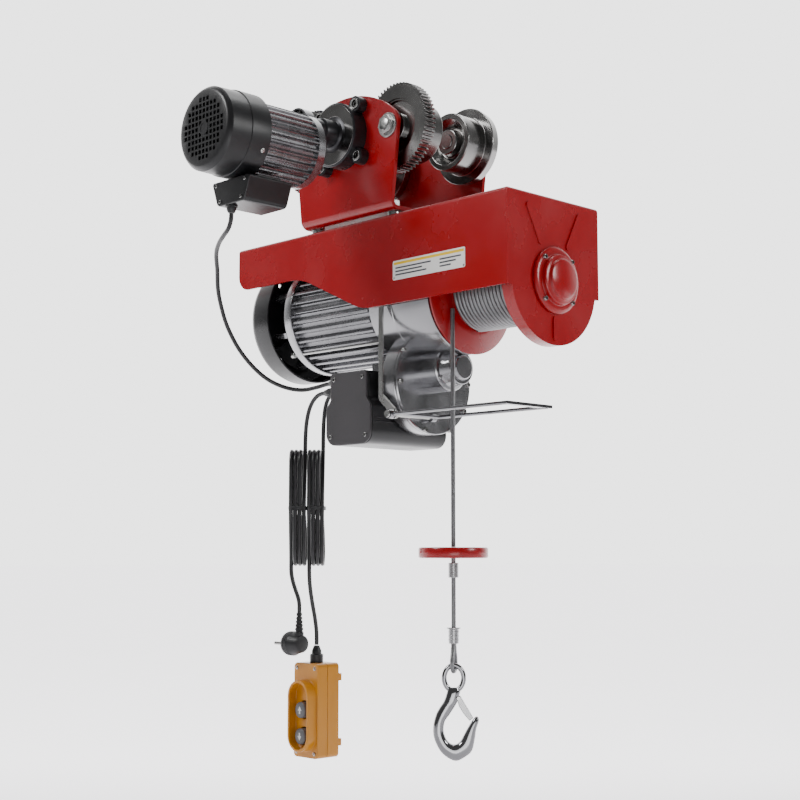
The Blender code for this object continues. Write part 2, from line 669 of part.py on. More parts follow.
def make_hoist_motor():
    centre = (0, DRUM_Z)
    fins = gear_like_fins(centre, 34, 73, 80)
    body = solid("hoist_motor_body", prism(fins, "X", -124, 35 - GAP), "silver_casting", (-45, *centre))
    cut(body, cylinder("X", centre, 64, -130, 40, 32))
    bell = [
        (-143, 8.5), (-143, 78), (-141, 83), (-124 - GAP, 83), (-124 - GAP, 66), (-136, 64), (-136, 8.5),
    ]
    end_bell = solid("hoist_end_bell", turned(bell, "X", centre, 30), "silver_casting")
    for rib in range(8):
        angle = 2 * math.pi * (rib + 0.5) / 8
        corners = radial_corners(centre, angle, ((66, -4), (77, -4), (77, 4), (66, 4)))
        join(end_bell, prism(corners, "X", -172, -142))
    cover = [
        (-212, 0), (-212, 78), (-208, 88), (-200, 91), (-167, 91), (-167, 88.5), (-199, 88.5),
        (-206, 86), (-209, 77), (-209, 0),
    ]
    shell = solid("hoist_fan_cover", turned(cover, "X", centre, 32), "black_cover", (-190, *centre))
    cut_slots(shell, centre, 6)
    rotor = [
        (-198, 0), (-198, 8), (-108, 8), (-108, 38), (18, 38), (18, 8), (75, 8), (75, 0),
    ]
    armature = solid("hoist_rotor", turned(rotor, "X", centre, 14), "dark_steel", (-45, *centre))
    join(armature, stage_gear(ROTOR_PINION_TEETH, centre, -math.pi / 2, FIRST_STAGE_SPAN))
    make_fan("hoist_fan", "X", centre, (-196, -178), 70, 8 + GAP, 5)
    brake = ring("X", centre, 8 + GAP, 34, -134, -122, 20)
    solid("brake_disc", brake, "dark_steel", (-128, *centre))


def cut_slots(shell, centre, count):
    """Radial air slots in the fan cover's flat end."""
    for slot in range(count):
        angle = 2 * math.pi * slot / count
        start = (centre[0] + 30 * math.cos(angle), centre[1] + 30 * math.sin(angle))
        end = (centre[0] + 66 * math.cos(angle), centre[1] + 66 * math.sin(angle))
        cut(shell, prism(stadium(start, end, 3.5, 3), "X", -216, -204))


# Control box

def make_control_box():
    """The deep box under the motor: a black shell, a grey front and what the shell holds."""
    outline = rounded([
        (-28, -288, 5), (-28, -325, 4), (-37, -336, 4), (-37, -388, 18), (53, -388, 18),
        (53, -336, 4), (45, -325, 4), (45, -288, 5),
    ])
    shell = solid("control_box_shell", prism(outline, "Y", -86, 57), "black_cover")
    inner = rounded([
        (-25, -291, 3), (-25, -326, 4), (-34, -337, 4), (-34, -385, 15), (50, -385, 15),
        (50, -337, 4), (42, -326, 4), (42, -291, 3),
    ])
    cut(shell, prism(inner, "Y", -90, 54))
    solid("control_box_front", prism(outline, "Y", -90, -86 - GAP), "grey_cover")
    bracket = block((-4, -34, -288 + GAP), (49, 34, DRUM_Z - 80 - GAP))
    solid("control_box_bracket", bracket, "silver_casting", (20, 0, -279))


def make_cable_glands():
    """One moulded entry plate on the control box's side, with a nose for each of three cords."""
    outline = rounded_box(-86, -52, -320.5, -290, 3, 2)
    glands = solid("cable_glands", prism(outline, "X", -32, -28 - GAP), "rubber", (-40, -70, -310))
    for y, z in LEAD_EXITS:
        nose = [(-52, 0), (-52, 4.2), (-45, 5.6), (-36, 5.6), (-36, 6.8), (-30, 6.8), (-30, 0)]
        join(glands, turned(nose, "X", (y, z), 10))


# Limit fork

def make_limit_stop():
    """The strap that carries the fork, the pin they turn on, and the fork that the stop disc lifts."""
    outline = [
        (65, -178), (65, -330), (87, -350), (88, -358), (98, -358), (99, -345), (73, -323), (73, -178),
    ]
    strap = solid("limit_strap", prism(outline, "Y", -86.6, -84), "bright_steel")
    pin = [(-98, 0), (-98, 5), (-96, 5), (-96, 3), (-6, 3), (-6, 0)]
    pivot = (FORK_PIVOT_X, -50, FORK_Z)
    join(strap, turned(pin, "Y", (FORK_PIVOT_X, FORK_Z), 16))
    hub = ring("Y", (FORK_PIVOT_X, FORK_Z), 3 + GAP, 6, -95, -87.5, 16)
    fork = solid("limit_fork", hub, "bright_steel", pivot)
    join(fork, ring("Y", (FORK_PIVOT_X, FORK_Z), 3 + GAP, 6, -16, -8, 16))
    for y in (FORK_FRONT_Y, FORK_BACK_Y):
        join(fork, cylinder("X", (y, FORK_Z), FORK_ROD_RADIUS, FORK_PIVOT_X + 4.5, 297, 8))
    join(fork, cylinder("Y", (106, FORK_Z), FORK_ROD_RADIUS, FORK_FRONT_Y, FORK_BACK_Y, 8))
    join(fork, block((292, FORK_FRONT_Y - 4, FORK_Z - 2), (301, FORK_BACK_Y + 4, FORK_Z + 2)))


# Rope and hook

def make_rope():
    rope_line = (ROPE_X, ROPE_Y)
    length = [(ROPE_X, ROPE_Y, z) for z in np.linspace(ROPE_TOP_Z, STOP_DISC_TOP_Z + GAP, 24)]
    tube("wire_rope", length, ROPE_RADIUS, "rope_steel")
    disc = ring("Z", rope_line, ROPE_BORE, 45, -541, STOP_DISC_TOP_Z, 32)
    solid("stop_disc", disc, "red_paint", (ROPE_X, ROPE_Y, -534))
    section = [
        (-650, 0), (-650, 6.5), (-631, 6.5), (-631, 9), (-629.5, 9), (-629.5, ROPE_RADIUS),
        (-566, ROPE_RADIUS), (-566, 6.5), (-547, 6.5), (-547, ROPE_RADIUS),
        (STOP_DISC_TOP_Z, ROPE_RADIUS), (STOP_DISC_TOP_Z, 0),
    ]
    end = solid("rope_end", turned(section, "Z", rope_line, 12), "rope_steel", (ROPE_X, ROPE_Y, LINK_Z))
    join(end, rope_eye())


def hook_frame():
    """The matrix from the hook's own sideways, depth and height to the world."""
    return Matrix.Translation((ROPE_X, ROPE_Y, 0)) @ Matrix.Rotation(HOOK_YAW, 4, "Z")


def rope_eye():
    """The rope's end loop, in a plane across the hook's ring."""
    half = [
        (3.3, -645), (3.4, -652), (5.2, -660), (8.5, -667), (9.8, -674), (8.3, -680.5), (4.6, -684.2),
        (0, LINK_Z),
    ]
    route = [(-s, 0, z) for s, z in half] + [(s, 0, z) for s, z in reversed(half[:-1])]
    loop = round_bar(sweep_curve(route, 5), ROPE_RADIUS - 0.2, 6)
    loop.transform(hook_frame() @ Matrix.Rotation(math.radians(75), 4, "Z"))
    return loop


def round_bar(points, radius, sides):
    """A closed round bar along points that lie in the plane y = 0."""
    mesh = bmesh.new()
    loops = []
    for before, here, after in zip([points[0], *points], points, [*points[1:], points[-1]]):
        along = Vector(after) - Vector(before)
        across = Vector((along.z, 0, -along.x)).normalized()
        turns = [2 * math.pi * k / sides for k in range(sides)]
        loops.append([
            mesh.verts.new(Vector(here) + radius * (across * math.cos(t) + Vector((0, math.sin(t), 0))))
            for t in turns
        ])
    for first, second in zip(loops, loops[1:]):
        for k in range(sides):
            m = (k + 1) % sides
            mesh.faces.new((first[k], first[m], second[m], second[k]))
    mesh.faces.new(loops[0])
    mesh.faces.new(loops[-1])
    bmesh.ops.recalc_face_normals(mesh, faces=mesh.faces)
    return mesh


def make_hook():
    """An eye hook: a ring, a neck and a bowl, with a latch on a pin."""
    outline = [
        (-9, -709), (-12.6, -721.5), (-22, -736.4), (-26.6, -753), (-25.6, -768), (-19, -783), (-10, -793),
        (1.7, -797), (12.5, -793), (22.7, -784.8), (26, -770), (28.5, -757), (32.5, -745.7), (28.5, -741),
        (23, -745.7), (14.3, -760.6), (8, -772.5), (0, -776.4), (-8.5, -771), (-13, -759), (-11, -747),
        (-2, -734), (4, -724), (8, -716), (8, -709),
    ]
    mesh = prism(outline, "Y", -7, 7)
    mesh.transform(hook_frame())
    pivot = (ROPE_X, ROPE_Y, LINK_Z)
    hook = solid("load_hook", mesh, "bright_steel", pivot)
    eye = eye_ring(12.4, 16, 3.3, -693.3)
    eye.transform(hook_frame())
    join(hook, eye)
    slot_cut = block((-1, -3.2, -730), (14, 3.2, -713))
    slot_cut.transform(hook_frame())
    cut(hook, slot_cut)
    pin = cylinder("Y", LATCH_PIN, 1.5, -8, 8, 12)
    pin.transform(hook_frame())
    join(hook, pin)
    make_latch()


def eye_ring(a, b, wire, height):
    """An oval ring of round wire, in the hook's own plane."""
    mesh = bmesh.new()
    steps, sides = 22, 6
    loops = []
    for k in range(steps):
        angle = 2 * math.pi * k / steps
        centre = Vector((a * math.cos(angle), 0, height + b * math.sin(angle)))
        outward = Vector((b * math.cos(angle), 0, a * math.sin(angle))).normalized()
        loops.append([
            mesh.verts.new(centre + outward * wire * math.cos(t) + Vector((0, wire * math.sin(t), 0)))
            for t in (2 * math.pi * m / sides for m in range(sides))
        ])
    for k in range(steps):
        after = loops[(k + 1) % steps]
        for m in range(sides):
            n = (m + 1) % sides
            mesh.faces.new((loops[k][m], loops[k][n], after[n], after[m]))
    bmesh.ops.recalc_face_normals(mesh, faces=mesh.faces)
    return mesh


def make_latch():
    outline = [
        (3.6, -716), (8.4, -716.5), (12, -722), (24.5, -743.2), (19.8, -747.2), (12, -738), (6.5, -729),
    ]
    mesh = prism(outline, "Y", -2.6, 2.6)
    mesh.transform(hook_frame())
    hinge = hook_frame() @ Vector((LATCH_PIN[0], 0, LATCH_PIN[1]))
    latch = solid("hook_latch", mesh, "bright_steel", hinge)
    hole = cylinder("Y", LATCH_PIN, 1.5 + GAP, -10, 10, 12)
    hole.transform(hook_frame())
    cut(latch, hole)


# Pendant and plug

def make_pendant():
    x, top, bottom = PENDANT_X, PENDANT_TOP_Z, PENDANT_BOTTOM_Z
    half = 25.5
    outline = rounded_box(x - half, x + half, bottom, top, 5)
    front = solid("pendant_front", prism(outline, "Y", -70, -52), "yellow_plastic")
    cut(front, prism(rounded_box(x - half + 3, x + half - 3, bottom + 3, top - 3, 3), "Y", -67, -40))
    collar = prism(stadium((x, -733), (x, -787), 22, 10), "Y", -85, -68)
    join(front, collar)
    cut(front, prism(stadium((x, -733), (x, -787), 18.5, 10), "Y", -95, -72))
    for z in BUTTON_Z:
        cut(front, cylinder("Y", (x, z), 12 + GAP, -80, -60, 20))
    back = solid("pendant_rear", prism(outline, "Y", -52 + GAP, -31), "yellow_plastic")
    cut(back, prism(rounded_box(x - half + 3, x + half - 3, bottom + 3, top - 3, 3), "Y", -60, -34))
    for z in (top - 20, bottom + 20):
        join(back, block((x + 8, -32, z - 5), (x + half - 2, -24, z + 5)))
    for name, z in zip(("button_up", "button_down"), BUTTON_Z):
        section = [(-81, 0), (-81, 10), (-79.5, 11), (-64.5, 11), (-64.5, 13.5), (-62.5, 13.5), (-62.5, 0)]
        button = turned(section, "Y", (x, z), 20)
        solid(name, button, "button_grey", (x, -70, z))
    gland = [
        (-664 + GAP, 0), (-664 + GAP, 4.2), (-670, 7), (-676, 7), (-676, 9.5), (top + GAP, 9.5),
        (top + GAP, 0),
    ]
    solid("pendant_gland", turned(gland, "Z", (x, PENDANT_Y), 20), "rubber", (x, PENDANT_Y, -676))


def make_plug():
    y, z = -80, -661
    section = [
        (-126, 0), (-126, 15), (-124, 16.5), (-112, 16.5), (-106, 14), (-96, 12), (-95, 10), (-95, 0),
    ]
    plug = solid("plug_body", turned(section, "X", (y, z), 22), "rubber", (-110, y, z))
    join(plug, cylinder("Z", (-103, y), 6.5, -660, -644.6, 20))
    relief = [
        (-618 + GAP, 0), (-618 + GAP, 3.6), (-630, 5), (-644.3, 6.2), (-644.3, 0),
    ]
    solid("plug_strain_relief", turned(relief, "Z", (-103, y), 20), "rubber", (-103, y, -631))
    for side in (-1, 1):
        pin = [(-145, 0), (-145, 1.4), (-144, 2.4), (-124, 2.4), (-124, 0)]
        join(plug, turned(pin, "X", (y + 9.5 * side, z), 8))


def make_cords():
    tube("travel_lead", sweep_curve(TRAVEL_LEAD_ROUTE, CORD_STEP), LEAD_RADIUS, "rubber")
    routes = {
        "mains_lead_upper": MAINS_UPPER_ROUTE,
        "mains_lead_lower": MAINS_LOWER_ROUTE,
        "pendant_cable_upper": PENDANT_UPPER_ROUTE,
        "pendant_cable_lower": PENDANT_LOWER_ROUTE,
    }
    for name, route in routes.items():
        tube(name, sweep_curve(route, CORD_STEP), LEAD_RADIUS, "rubber")
    reach = HANK_WIDTH / 2
    for name, (x, y) in (("mains_lead_hank", MAINS_HANK), ("pendant_cable_hank", PENDANT_HANK)):
        outline = stadium((x, HANK_TOP_Z - reach), (x, HANK_BOTTOM_Z + reach), reach, 10)
        mesh = prism(outline, "Y", y - HANK_DEPTH / 2, y + HANK_DEPTH / 2)
        solid(name, mesh, "rubber", (x, y, HANK_TOP_Z))


def clear_scene():
    for old in list(bpy.data.objects):
        bpy.data.objects.remove(old, do_unlink=True)


def main():
    clear_scene()
    make_trolley()
    make_travel_pinion()
    make_travel_gear_housing()
    make_travel_motor()
    make_travel_terminal_box()
    make_hoist_frame()
    make_end_bearing()
    make_drum()
    make_gearbox()
    make_gear_train()
    make_hoist_motor()
    make_control_box()
    make_cable_glands()
    make_limit_stop()
    make_rope()
    make_hook()
    make_pendant()
    make_plug()
    make_cords()


main()
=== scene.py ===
"""The finished look of the electric wire rope hoist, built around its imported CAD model.

Shapes are given in millimetres in the row frame, and MM turns them into metres.
"""

import math

import bmesh
import bpy
import numpy as np
from mathutils import Matrix, Vector


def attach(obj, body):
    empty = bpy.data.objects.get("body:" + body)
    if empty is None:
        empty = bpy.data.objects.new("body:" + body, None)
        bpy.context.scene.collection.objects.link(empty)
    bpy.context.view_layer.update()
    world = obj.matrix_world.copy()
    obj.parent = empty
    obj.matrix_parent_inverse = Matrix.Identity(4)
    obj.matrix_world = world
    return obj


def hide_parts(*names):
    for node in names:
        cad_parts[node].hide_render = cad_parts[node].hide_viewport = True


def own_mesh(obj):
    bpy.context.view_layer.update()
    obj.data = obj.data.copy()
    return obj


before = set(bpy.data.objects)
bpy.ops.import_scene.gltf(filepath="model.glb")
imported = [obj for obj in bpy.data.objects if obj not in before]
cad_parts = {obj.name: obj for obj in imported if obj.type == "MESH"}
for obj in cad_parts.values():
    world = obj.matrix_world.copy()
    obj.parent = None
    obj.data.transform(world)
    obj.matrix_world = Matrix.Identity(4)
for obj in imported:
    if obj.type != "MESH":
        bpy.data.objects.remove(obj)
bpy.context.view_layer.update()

MM = 0.001
WHEEL_Z = 41
TRAVEL_Z = 5
DRUM_Z = -190
LOWER_Z = -302
SHAFT_Z = -286
ROPE = (166, -48)
ROPE_RADIUS = 3
ROPE_TOP_Z = -215
STOP_TOP_Z = -527
HOOK_YAW = math.radians(45)
LEAD_DIAMETER = 6.0
# The level direction straight away from the camera, in which the hanks are wide
AWAY = (-0.718, 0.696, 0)
ACROSS = (0.696, 0.718, 0)
HANK_RADIUS = 18.2
HANK_PITCH = 6.2
HANK_TOP_Z = -409.2
HANK_BOTTOM_Z = -531.8
MAINS_HANK = (-107, -80)
PENDANT_HANK = (-88.8, -62.1)
SHARP_ANGLE = math.radians(32)
BEVEL_ANGLE = math.radians(38)
FLOOR_Z = -0.98
FLOOR_REACH = 40


# Camera

def make_camera():
    data = bpy.data.cameras.new("camera")
    data.lens = 64.06
    data.sensor_width = 36
    camera = bpy.data.objects.new("camera", data)
    camera.location = (1.4443, -1.3834, -0.5328)
    camera.rotation_euler = (math.radians(96.085), 0, math.radians(45.884))
    bpy.context.scene.collection.objects.link(camera)
    bpy.context.scene.camera = camera


# Materials

def surface(name, colour, roughness, metallic=0.0, coat=0.0, mottle=0.06, mottle_scale=14,
            grain=600, bump=0.02, stretch=(1, 1, 1), rough_swing=0.06):
    """A procedural finish: two scales of noise vary its colour, roughness and height."""
    material = bpy.data.materials.new(name)
    material.use_nodes = True
    nodes, links = material.node_tree.nodes, material.node_tree.links
    shader = nodes["Principled BSDF"]
    shader.inputs["Metallic"].default_value = metallic
    shader.inputs["Coat Weight"].default_value = coat
    shader.inputs["Coat Roughness"].default_value = 0.06
    place = nodes.new("ShaderNodeTexCoord")
    scale = nodes.new("ShaderNodeMapping")
    scale.inputs["Scale"].default_value = stretch
    links.new(place.outputs["Object"], scale.inputs["Vector"])
    broad = nodes.new("ShaderNodeTexNoise")
    broad.inputs["Scale"].default_value = mottle_scale
    broad.inputs["Detail"].default_value = 6
    fine = nodes.new("ShaderNodeTexNoise")
    fine.inputs["Scale"].default_value = grain
    fine.inputs["Detail"].default_value = 3
    links.new(scale.outputs["Vector"], broad.inputs["Vector"])
    links.new(scale.outputs["Vector"], fine.inputs["Vector"])
    blend = nodes.new("ShaderNodeMix")
    blend.data_type = "RGBA"
    blend.inputs["A"].default_value = (*[c * (1 - mottle) for c in colour], 1)
    blend.inputs["B"].default_value = (*[min(1, c * (1 + mottle) + 0.002) for c in colour], 1)
    links.new(broad.outputs["Fac"], blend.inputs["Factor"])
    links.new(blend.outputs["Result"], shader.inputs["Base Color"])
    rough = nodes.new("ShaderNodeMapRange")
    rough.inputs["From Min"].default_value = 0.3
    rough.inputs["From Max"].default_value = 0.7
    rough.inputs["To Min"].default_value = max(0.02, roughness - rough_swing)
    rough.inputs["To Max"].default_value = roughness + rough_swing
    links.new(broad.outputs["Fac"], rough.inputs["Value"])
    links.new(rough.outputs["Result"], shader.inputs["Roughness"])
    raised = nodes.new("ShaderNodeBump")
    raised.inputs["Strength"].default_value = bump
    raised.inputs["Distance"].default_value = 0.001
    links.new(fine.outputs["Fac"], raised.inputs["Height"])
    links.new(raised.outputs["Normal"], shader.inputs["Normal"])
    return material


def make_materials():
    return {
        "red": surface("red_enamel", (0.30, 0.0001, 0.003), 0.26, coat=0.12, mottle=0.015,
                       grain=420, bump=0.05),
        "black": surface("black_cover", (0.006, 0.006, 0.007), 0.32, grain=700, bump=0.08),
        "dark": surface("dark_plated", (0.035, 0.035, 0.038), 0.3, 0.75, mottle=0.15, grain=300, bump=0.05),
        "grey": surface("grey_lid", (0.035, 0.032, 0.035), 0.4, grain=800, bump=0.12),
        "cast": surface("polished_casting", (0.34, 0.34, 0.35), 0.2, 0.96, mottle=0.08, mottle_scale=30,
                        grain=260, bump=0.06),
        "fins": surface("ribbed_casting", (0.23, 0.23, 0.24), 0.26, 0.92, mottle=0.1, mottle_scale=40,
                        grain=420, bump=0.12),
        "steel": surface("turned_steel", (0.27, 0.265, 0.26), 0.2, 1.0, mottle=0.08, grain=200,
                         bump=0.05, stretch=(1, 8, 1)),
        "nut": surface("zinc_plate", (0.42, 0.42, 0.41), 0.24, 1.0, mottle=0.1, grain=500, bump=0.05),
        "gear": surface("oiled_steel", (0.09, 0.088, 0.086), 0.3, 0.9, mottle=0.2, grain=350, bump=0.08),
        "chrome": surface("hook_chrome", (0.27, 0.27, 0.28), 0.1, 1.0, mottle=0.12, mottle_scale=40,
                          grain=120, bump=0.06, rough_swing=0.04),
        "rope": surface("rope_wire", (0.2, 0.2, 0.205), 0.34, 0.9, mottle=0.25, mottle_scale=300,
                        grain=1500, bump=0.2),
        "ferrule": surface("pressed_sleeve", (0.42, 0.42, 0.425), 0.3, 0.9, mottle=0.08,
                           grain=600, bump=0.08),
        "yellow": surface("yellow_moulding", (0.52, 0.2, 0.0), 0.33, coat=0.05, mottle=0.05,
                          grain=900, bump=0.1),
        "button": surface("grey_rubber", (0.09, 0.09, 0.095), 0.42, mottle=0.06, grain=900, bump=0.1),
        "rubber": surface("black_rubber", (0.012, 0.012, 0.013), 0.42, mottle=0.2, grain=900, bump=0.15),
        "sheath": surface("cord_sheath", (0.014, 0.014, 0.015), 0.34, mottle=0.2, mottle_scale=60,
                          grain=700, bump=0.1),
        "plate": surface("printed_plate", (0.80, 0.79, 0.76), 0.3, coat=0.2, mottle=0.02,
                         grain=900, bump=0.02),
        "ink": surface("printed_ink", (0.05, 0.05, 0.055), 0.4, mottle=0.1, grain=900, bump=0.02),
        "stripe": surface("printed_yellow", (0.80, 0.52, 0.02), 0.35, mottle=0.03, grain=900, bump=0.02),
        "mark": surface("white_mark", (0.62, 0.62, 0.62), 0.4, mottle=0.03, grain=900, bump=0.02),
        # painted shade: a near-black finish that stands for the shade deep in the gaps round the pendant's
        # buttons
        "painted_well_shade": surface("painted_shade_inside", (0.004, 0.004, 0.004), 0.8, mottle=0.3),
    }


MATERIALS = make_materials()


# Meshes

def point(axis, first, second, along):
    if axis == "X":
        return (along, first, second)
    if axis == "Y":
        return (first, along, second)
    return (first, second, along)


def around(centre, radius, angle):
    """The place at this radius and angle about a centre."""
    return (centre[0] + radius * math.cos(angle), centre[1] + radius * math.sin(angle))


def ring(centre, radius, count, first=45):
    """Places spaced evenly about a centre, from the first one's angle in degrees."""
    return [around(centre, radius, math.radians(first + 360 / count * k)) for k in range(count)]


def skin(mesh, loops, closed=False):
    """Faces from each loop of points to the next, and an end face at each open end."""
    pairs = list(zip(loops, loops[1:]))
    if closed:
        pairs.append((loops[-1], loops[0]))
    else:
        mesh.faces.new(loops[0])
        mesh.faces.new(loops[-1])
    for first, second in pairs:
        for k in range(len(first)):
            m = (k + 1) % len(first)
            mesh.faces.new((first[k], first[m], second[m], second[k]))
    bmesh.ops.recalc_face_normals(mesh, faces=mesh.faces)
    return mesh


def prism(outline, axis, low, high):
    """A closed outline of two coordinates each, swept along axis from low to high."""
    mesh = bmesh.new()
    ends = [[mesh.verts.new(point(axis, a, b, along)) for a, b in outline] for along in (low, high)]
    return skin(mesh, ends)


def block(low, high):
    outline = [(low[0], low[1]), (high[0], low[1]), (high[0], high[1]), (low[0], high[1])]
    return prism(outline, "Z", low[2], high[2])


def turned(section, axis, centre, steps=96):
    """A closed section of (along, radius) points turned about a line along axis through centre."""
    mesh = bmesh.new()
    angles = [2 * math.pi * k / steps for k in range(steps)]
    rings = []
    for along, radius in section:
        if radius == 0:
            rings.append([mesh.verts.new(point(axis, centre[0], centre[1], along))] * steps)
        else:
            rings.append([mesh.verts.new(point(axis, *around(centre, radius, t), along)) for t in angles])
    for i, before in enumerate(rings):
        after = rings[(i + 1) % len(rings)]
        for k in range(steps):
            m = (k + 1) % steps
            corners = list(dict.fromkeys((before[k], before[m], after[m], after[k])))
            if len(corners) > 2:
                mesh.faces.new(corners)
    bmesh.ops.recalc_face_normals(mesh, faces=mesh.faces)
    return mesh


def cylinder(axis, centre, radius, low, high, steps=32):
    return turned([(low, 0), (low, radius), (high, radius), (high, 0)], axis, centre, steps)


def tube_section(inner, outer, low, high):
    return [(low, inner), (low, outer), (high, outer), (high, inner)]


def rounded(corners, steps=8):
    """A polygon of (a, b, radius) corners with each corner replaced by an arc of that radius."""
    outline = []
    for i, (a, b, radius) in enumerate(corners):
        here = Vector((a, b))
        before = (Vector(corners[i - 1][:2]) - here).normalized()
        after = (Vector(corners[(i + 1) % len(corners)][:2]) - here).normalized()
        if radius == 0:
            outline.append((a, b))
            continue
        half = before.angle(after) / 2
        centre = here + (before + after).normalized() * (radius / math.sin(half))
        start = here + before * (radius / math.tan(half)) - centre
        end = here + after * (radius / math.tan(half)) - centre
        sweep = start.angle_signed(end)
        for k in range(steps + 1):
            turn = -sweep * k / steps
            outline.append((
                centre.x + start.x * math.cos(turn) - start.y * math.sin(turn),
                centre.y + start.x * math.sin(turn) + start.y * math.cos(turn),
            ))
    return outline


def rounded_box(a_low, a_high, b_low, b_high, radius, steps=8):
    corners = [(a_low, b_low), (a_high, b_low), (a_high, b_high), (a_low, b_high)]
    return rounded([(a, b, radius) for a, b in corners], steps)


def stadium(start, end, radius, steps=16):
    """The outline of a slot between two centres."""
    run = math.atan2(end[1] - start[1], end[0] - start[0])
    return [around(centre, radius, facing + math.pi * k / steps)
            for centre, facing in ((end, run - math.pi / 2), (start, run + math.pi / 2))
            for k in range(steps + 1)]


def hexagon(centre, radius, turn=0.0):
    return [around(centre, radius, turn + math.pi * k / 3) for k in range(6)]


def repeated(centre, count, flank, first=0.0):
    """An outline that repeats points of (share of a pitch, radius) all the way round a centre."""
    return [around(centre, radius, first + 2 * math.pi * (k + share) / count)
            for k in range(count) for share, radius in flank]


def gear_outline(teeth, module, centre, first_tooth):
    """A spur gear's outline with rounded tooth tips, and its first tooth at the angle given."""
    root = (teeth / 2 - 1.25) * module
    tip = (teeth / 2 + 0.8) * module
    flank = ((-0.30, root), (-0.25, root + 0.3), (-0.16, tip - 0.7), (-0.10, tip), (0.10, tip),
             (0.16, tip - 0.7), (0.25, root + 0.3), (0.30, root))
    return repeated(centre, teeth, flank, first_tooth)


def fin_outline(centre, count, root, tip):
    """The outline of a body with straight cooling fins that have rounded edges."""
    flank = ((-0.34, root), (-0.22, root + 1.0), (-0.15, tip - 0.8), (-0.09, tip), (0.09, tip),
             (0.15, tip - 0.8), (0.22, root + 1.0), (0.34, root))
    return repeated(centre, count, flank)


def spline(rows, steps):
    """Rows of numbers on the smooth curve through those given, with this many steps between them."""
    rows = np.array(rows, float)
    padded = np.vstack([2 * rows[0] - rows[1], rows, 2 * rows[-1] - rows[-2]])
    dense = []
    for p0, p1, p2, p3 in zip(padded, padded[1:], padded[2:], padded[3:]):
        for t in np.linspace(0, 1, steps, endpoint=False):
            dense.append(0.5 * (
                2 * p1 + (p2 - p0) * t + (2 * p0 - 5 * p1 + 4 * p2 - p3) * t**2
                + (3 * p1 - p0 - 3 * p2 + p3) * t**3))
    dense.append(rows[-1])
    return np.array(dense)


def smooth_route(points, spacing):
    """Points a fixed distance apart on the smooth curve through the route's points."""
    dense = spline(points, 16)
    run = np.concatenate([[0], np.cumsum(np.linalg.norm(np.diff(dense, axis=0), axis=1))])
    stations = np.linspace(0, run[-1], max(3, round(run[-1] / spacing) + 1))
    return np.stack([np.interp(stations, run, dense[:, k]) for k in range(3)], axis=1)


def swept_loop(points, radius, sides):
    """A round bar along a closed loop of points."""
    points = [Vector(p) for p in points]
    mesh = bmesh.new()
    loops = []
    normal = None
    for i, here in enumerate(points):
        along = (points[(i + 1) % len(points)] - points[i - 1]).normalized()
        if normal is None:
            normal = along.orthogonal().normalized()
        normal = (normal - along * normal.dot(along)).normalized()
        across = along.cross(normal)
        loops.append([
            mesh.verts.new(here + radius * (normal * math.cos(t) + across * math.sin(t)))
            for t in (2 * math.pi * k / sides for k in range(sides))
        ])
    return skin(mesh, loops, closed=True)


def merge(*meshes):
    """Several meshes as one, unjoined."""
    whole = bmesh.new()
    for mesh in meshes:
        part = bpy.data.meshes.new("part")
        mesh.to_mesh(part)
        mesh.free()
        whole.from_mesh(part)
        bpy.data.meshes.remove(part)
    return whole


# Objects

def data_of(name, mesh):
    data = bpy.data.meshes.new(name)
    mesh.transform(Matrix.Scale(MM, 4))
    mesh.to_mesh(data)
    mesh.free()
    return data


def piece(name, mesh, material, body="root", stands_for=(), bevel=0.0, cuts=(), joins=()):
    """A finished object of this mesh, with its Booleans applied, its edges softened and its body set."""
    made = bpy.data.objects.new(name, data_of(name, mesh))
    bpy.context.scene.collection.objects.link(made)
    for operation, tools in (("UNION", joins), ("DIFFERENCE", cuts)):
        for tool in tools:
            apply_boolean(made, operation, tool)
    made.data.materials.clear()
    made.data.materials.append(MATERIALS[material])
    made.data.shade_smooth()
    made.data.set_sharp_from_angle(angle=SHARP_ANGLE)
    if bevel:
        soften = made.modifiers.new("soft edges", "BEVEL")
        soften.width = bevel * MM
        soften.segments = 2
        soften.limit_method = "ANGLE"
        soften.angle_limit = BEVEL_ANGLE
        soften.use_clamp_overlap = True
    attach(made, body)
    if stands_for:
        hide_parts(*stands_for)
    return made


def apply_boolean(target, operation, mesh):
    tool = bpy.data.objects.new("tool", data_of("tool", mesh))
    bpy.context.scene.collection.objects.link(tool)
    modifier = target.modifiers.new("cut", "BOOLEAN")
    modifier.operation = operation
    modifier.object = tool
    modifier.solver = "EXACT"
    graph = bpy.context.evaluated_depsgraph_get()
    result = bpy.data.meshes.new_from_object(target.evaluated_get(graph))
    target.modifiers.clear()
    target.data = result
    bpy.data.objects.remove(tool)


def carved(mesh, *steps):
    """A mesh after a chain of Booleans, each an operation and its tool's mesh."""
    made = bpy.data.objects.new("blank", data_of("blank", mesh))
    bpy.context.scene.collection.objects.link(made)
    for operation, tool in steps:
        apply_boolean(made, operation, tool)
    result = bmesh.new()
    result.from_mesh(made.data)
    result.transform(Matrix.Scale(1 / MM, 4))
    bpy.data.objects.remove(made)
    return result


def repaint(material, *nodes):
    """CAD nodes that show as they are, with their facets smoothed and a finished material."""
    for node in nodes:
        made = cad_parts[node]
        made.data.materials.clear()
        made.data.materials.append(MATERIALS[material])
        made.data.shade_smooth()
        made.data.set_sharp_from_angle(angle=SHARP_ANGLE)


def add_screw(name, axis, centre, low, high, radius=3.5, material="nut"):
    """A socket screw's head with its hexagonal recess, whose outer face is at low."""
    height = high - low
    mesh = turned([(low, 0), (low, radius - 0.5), (low + height * 0.15, radius), (high, radius), (high, 0)],
                  axis, centre, 24)
    recess = prism(hexagon(centre, radius * 0.55), axis, *sorted((low - height * 0.2, low + height * 0.6)))
    piece(name, mesh, material, cuts=[recess])


def add_nut(name, axis, centre, low, high, radius, turn=0.3, material="nut"):
    piece(name, prism(hexagon(centre, radius, turn), axis, low, high), material, bevel=0.5)


# Cords

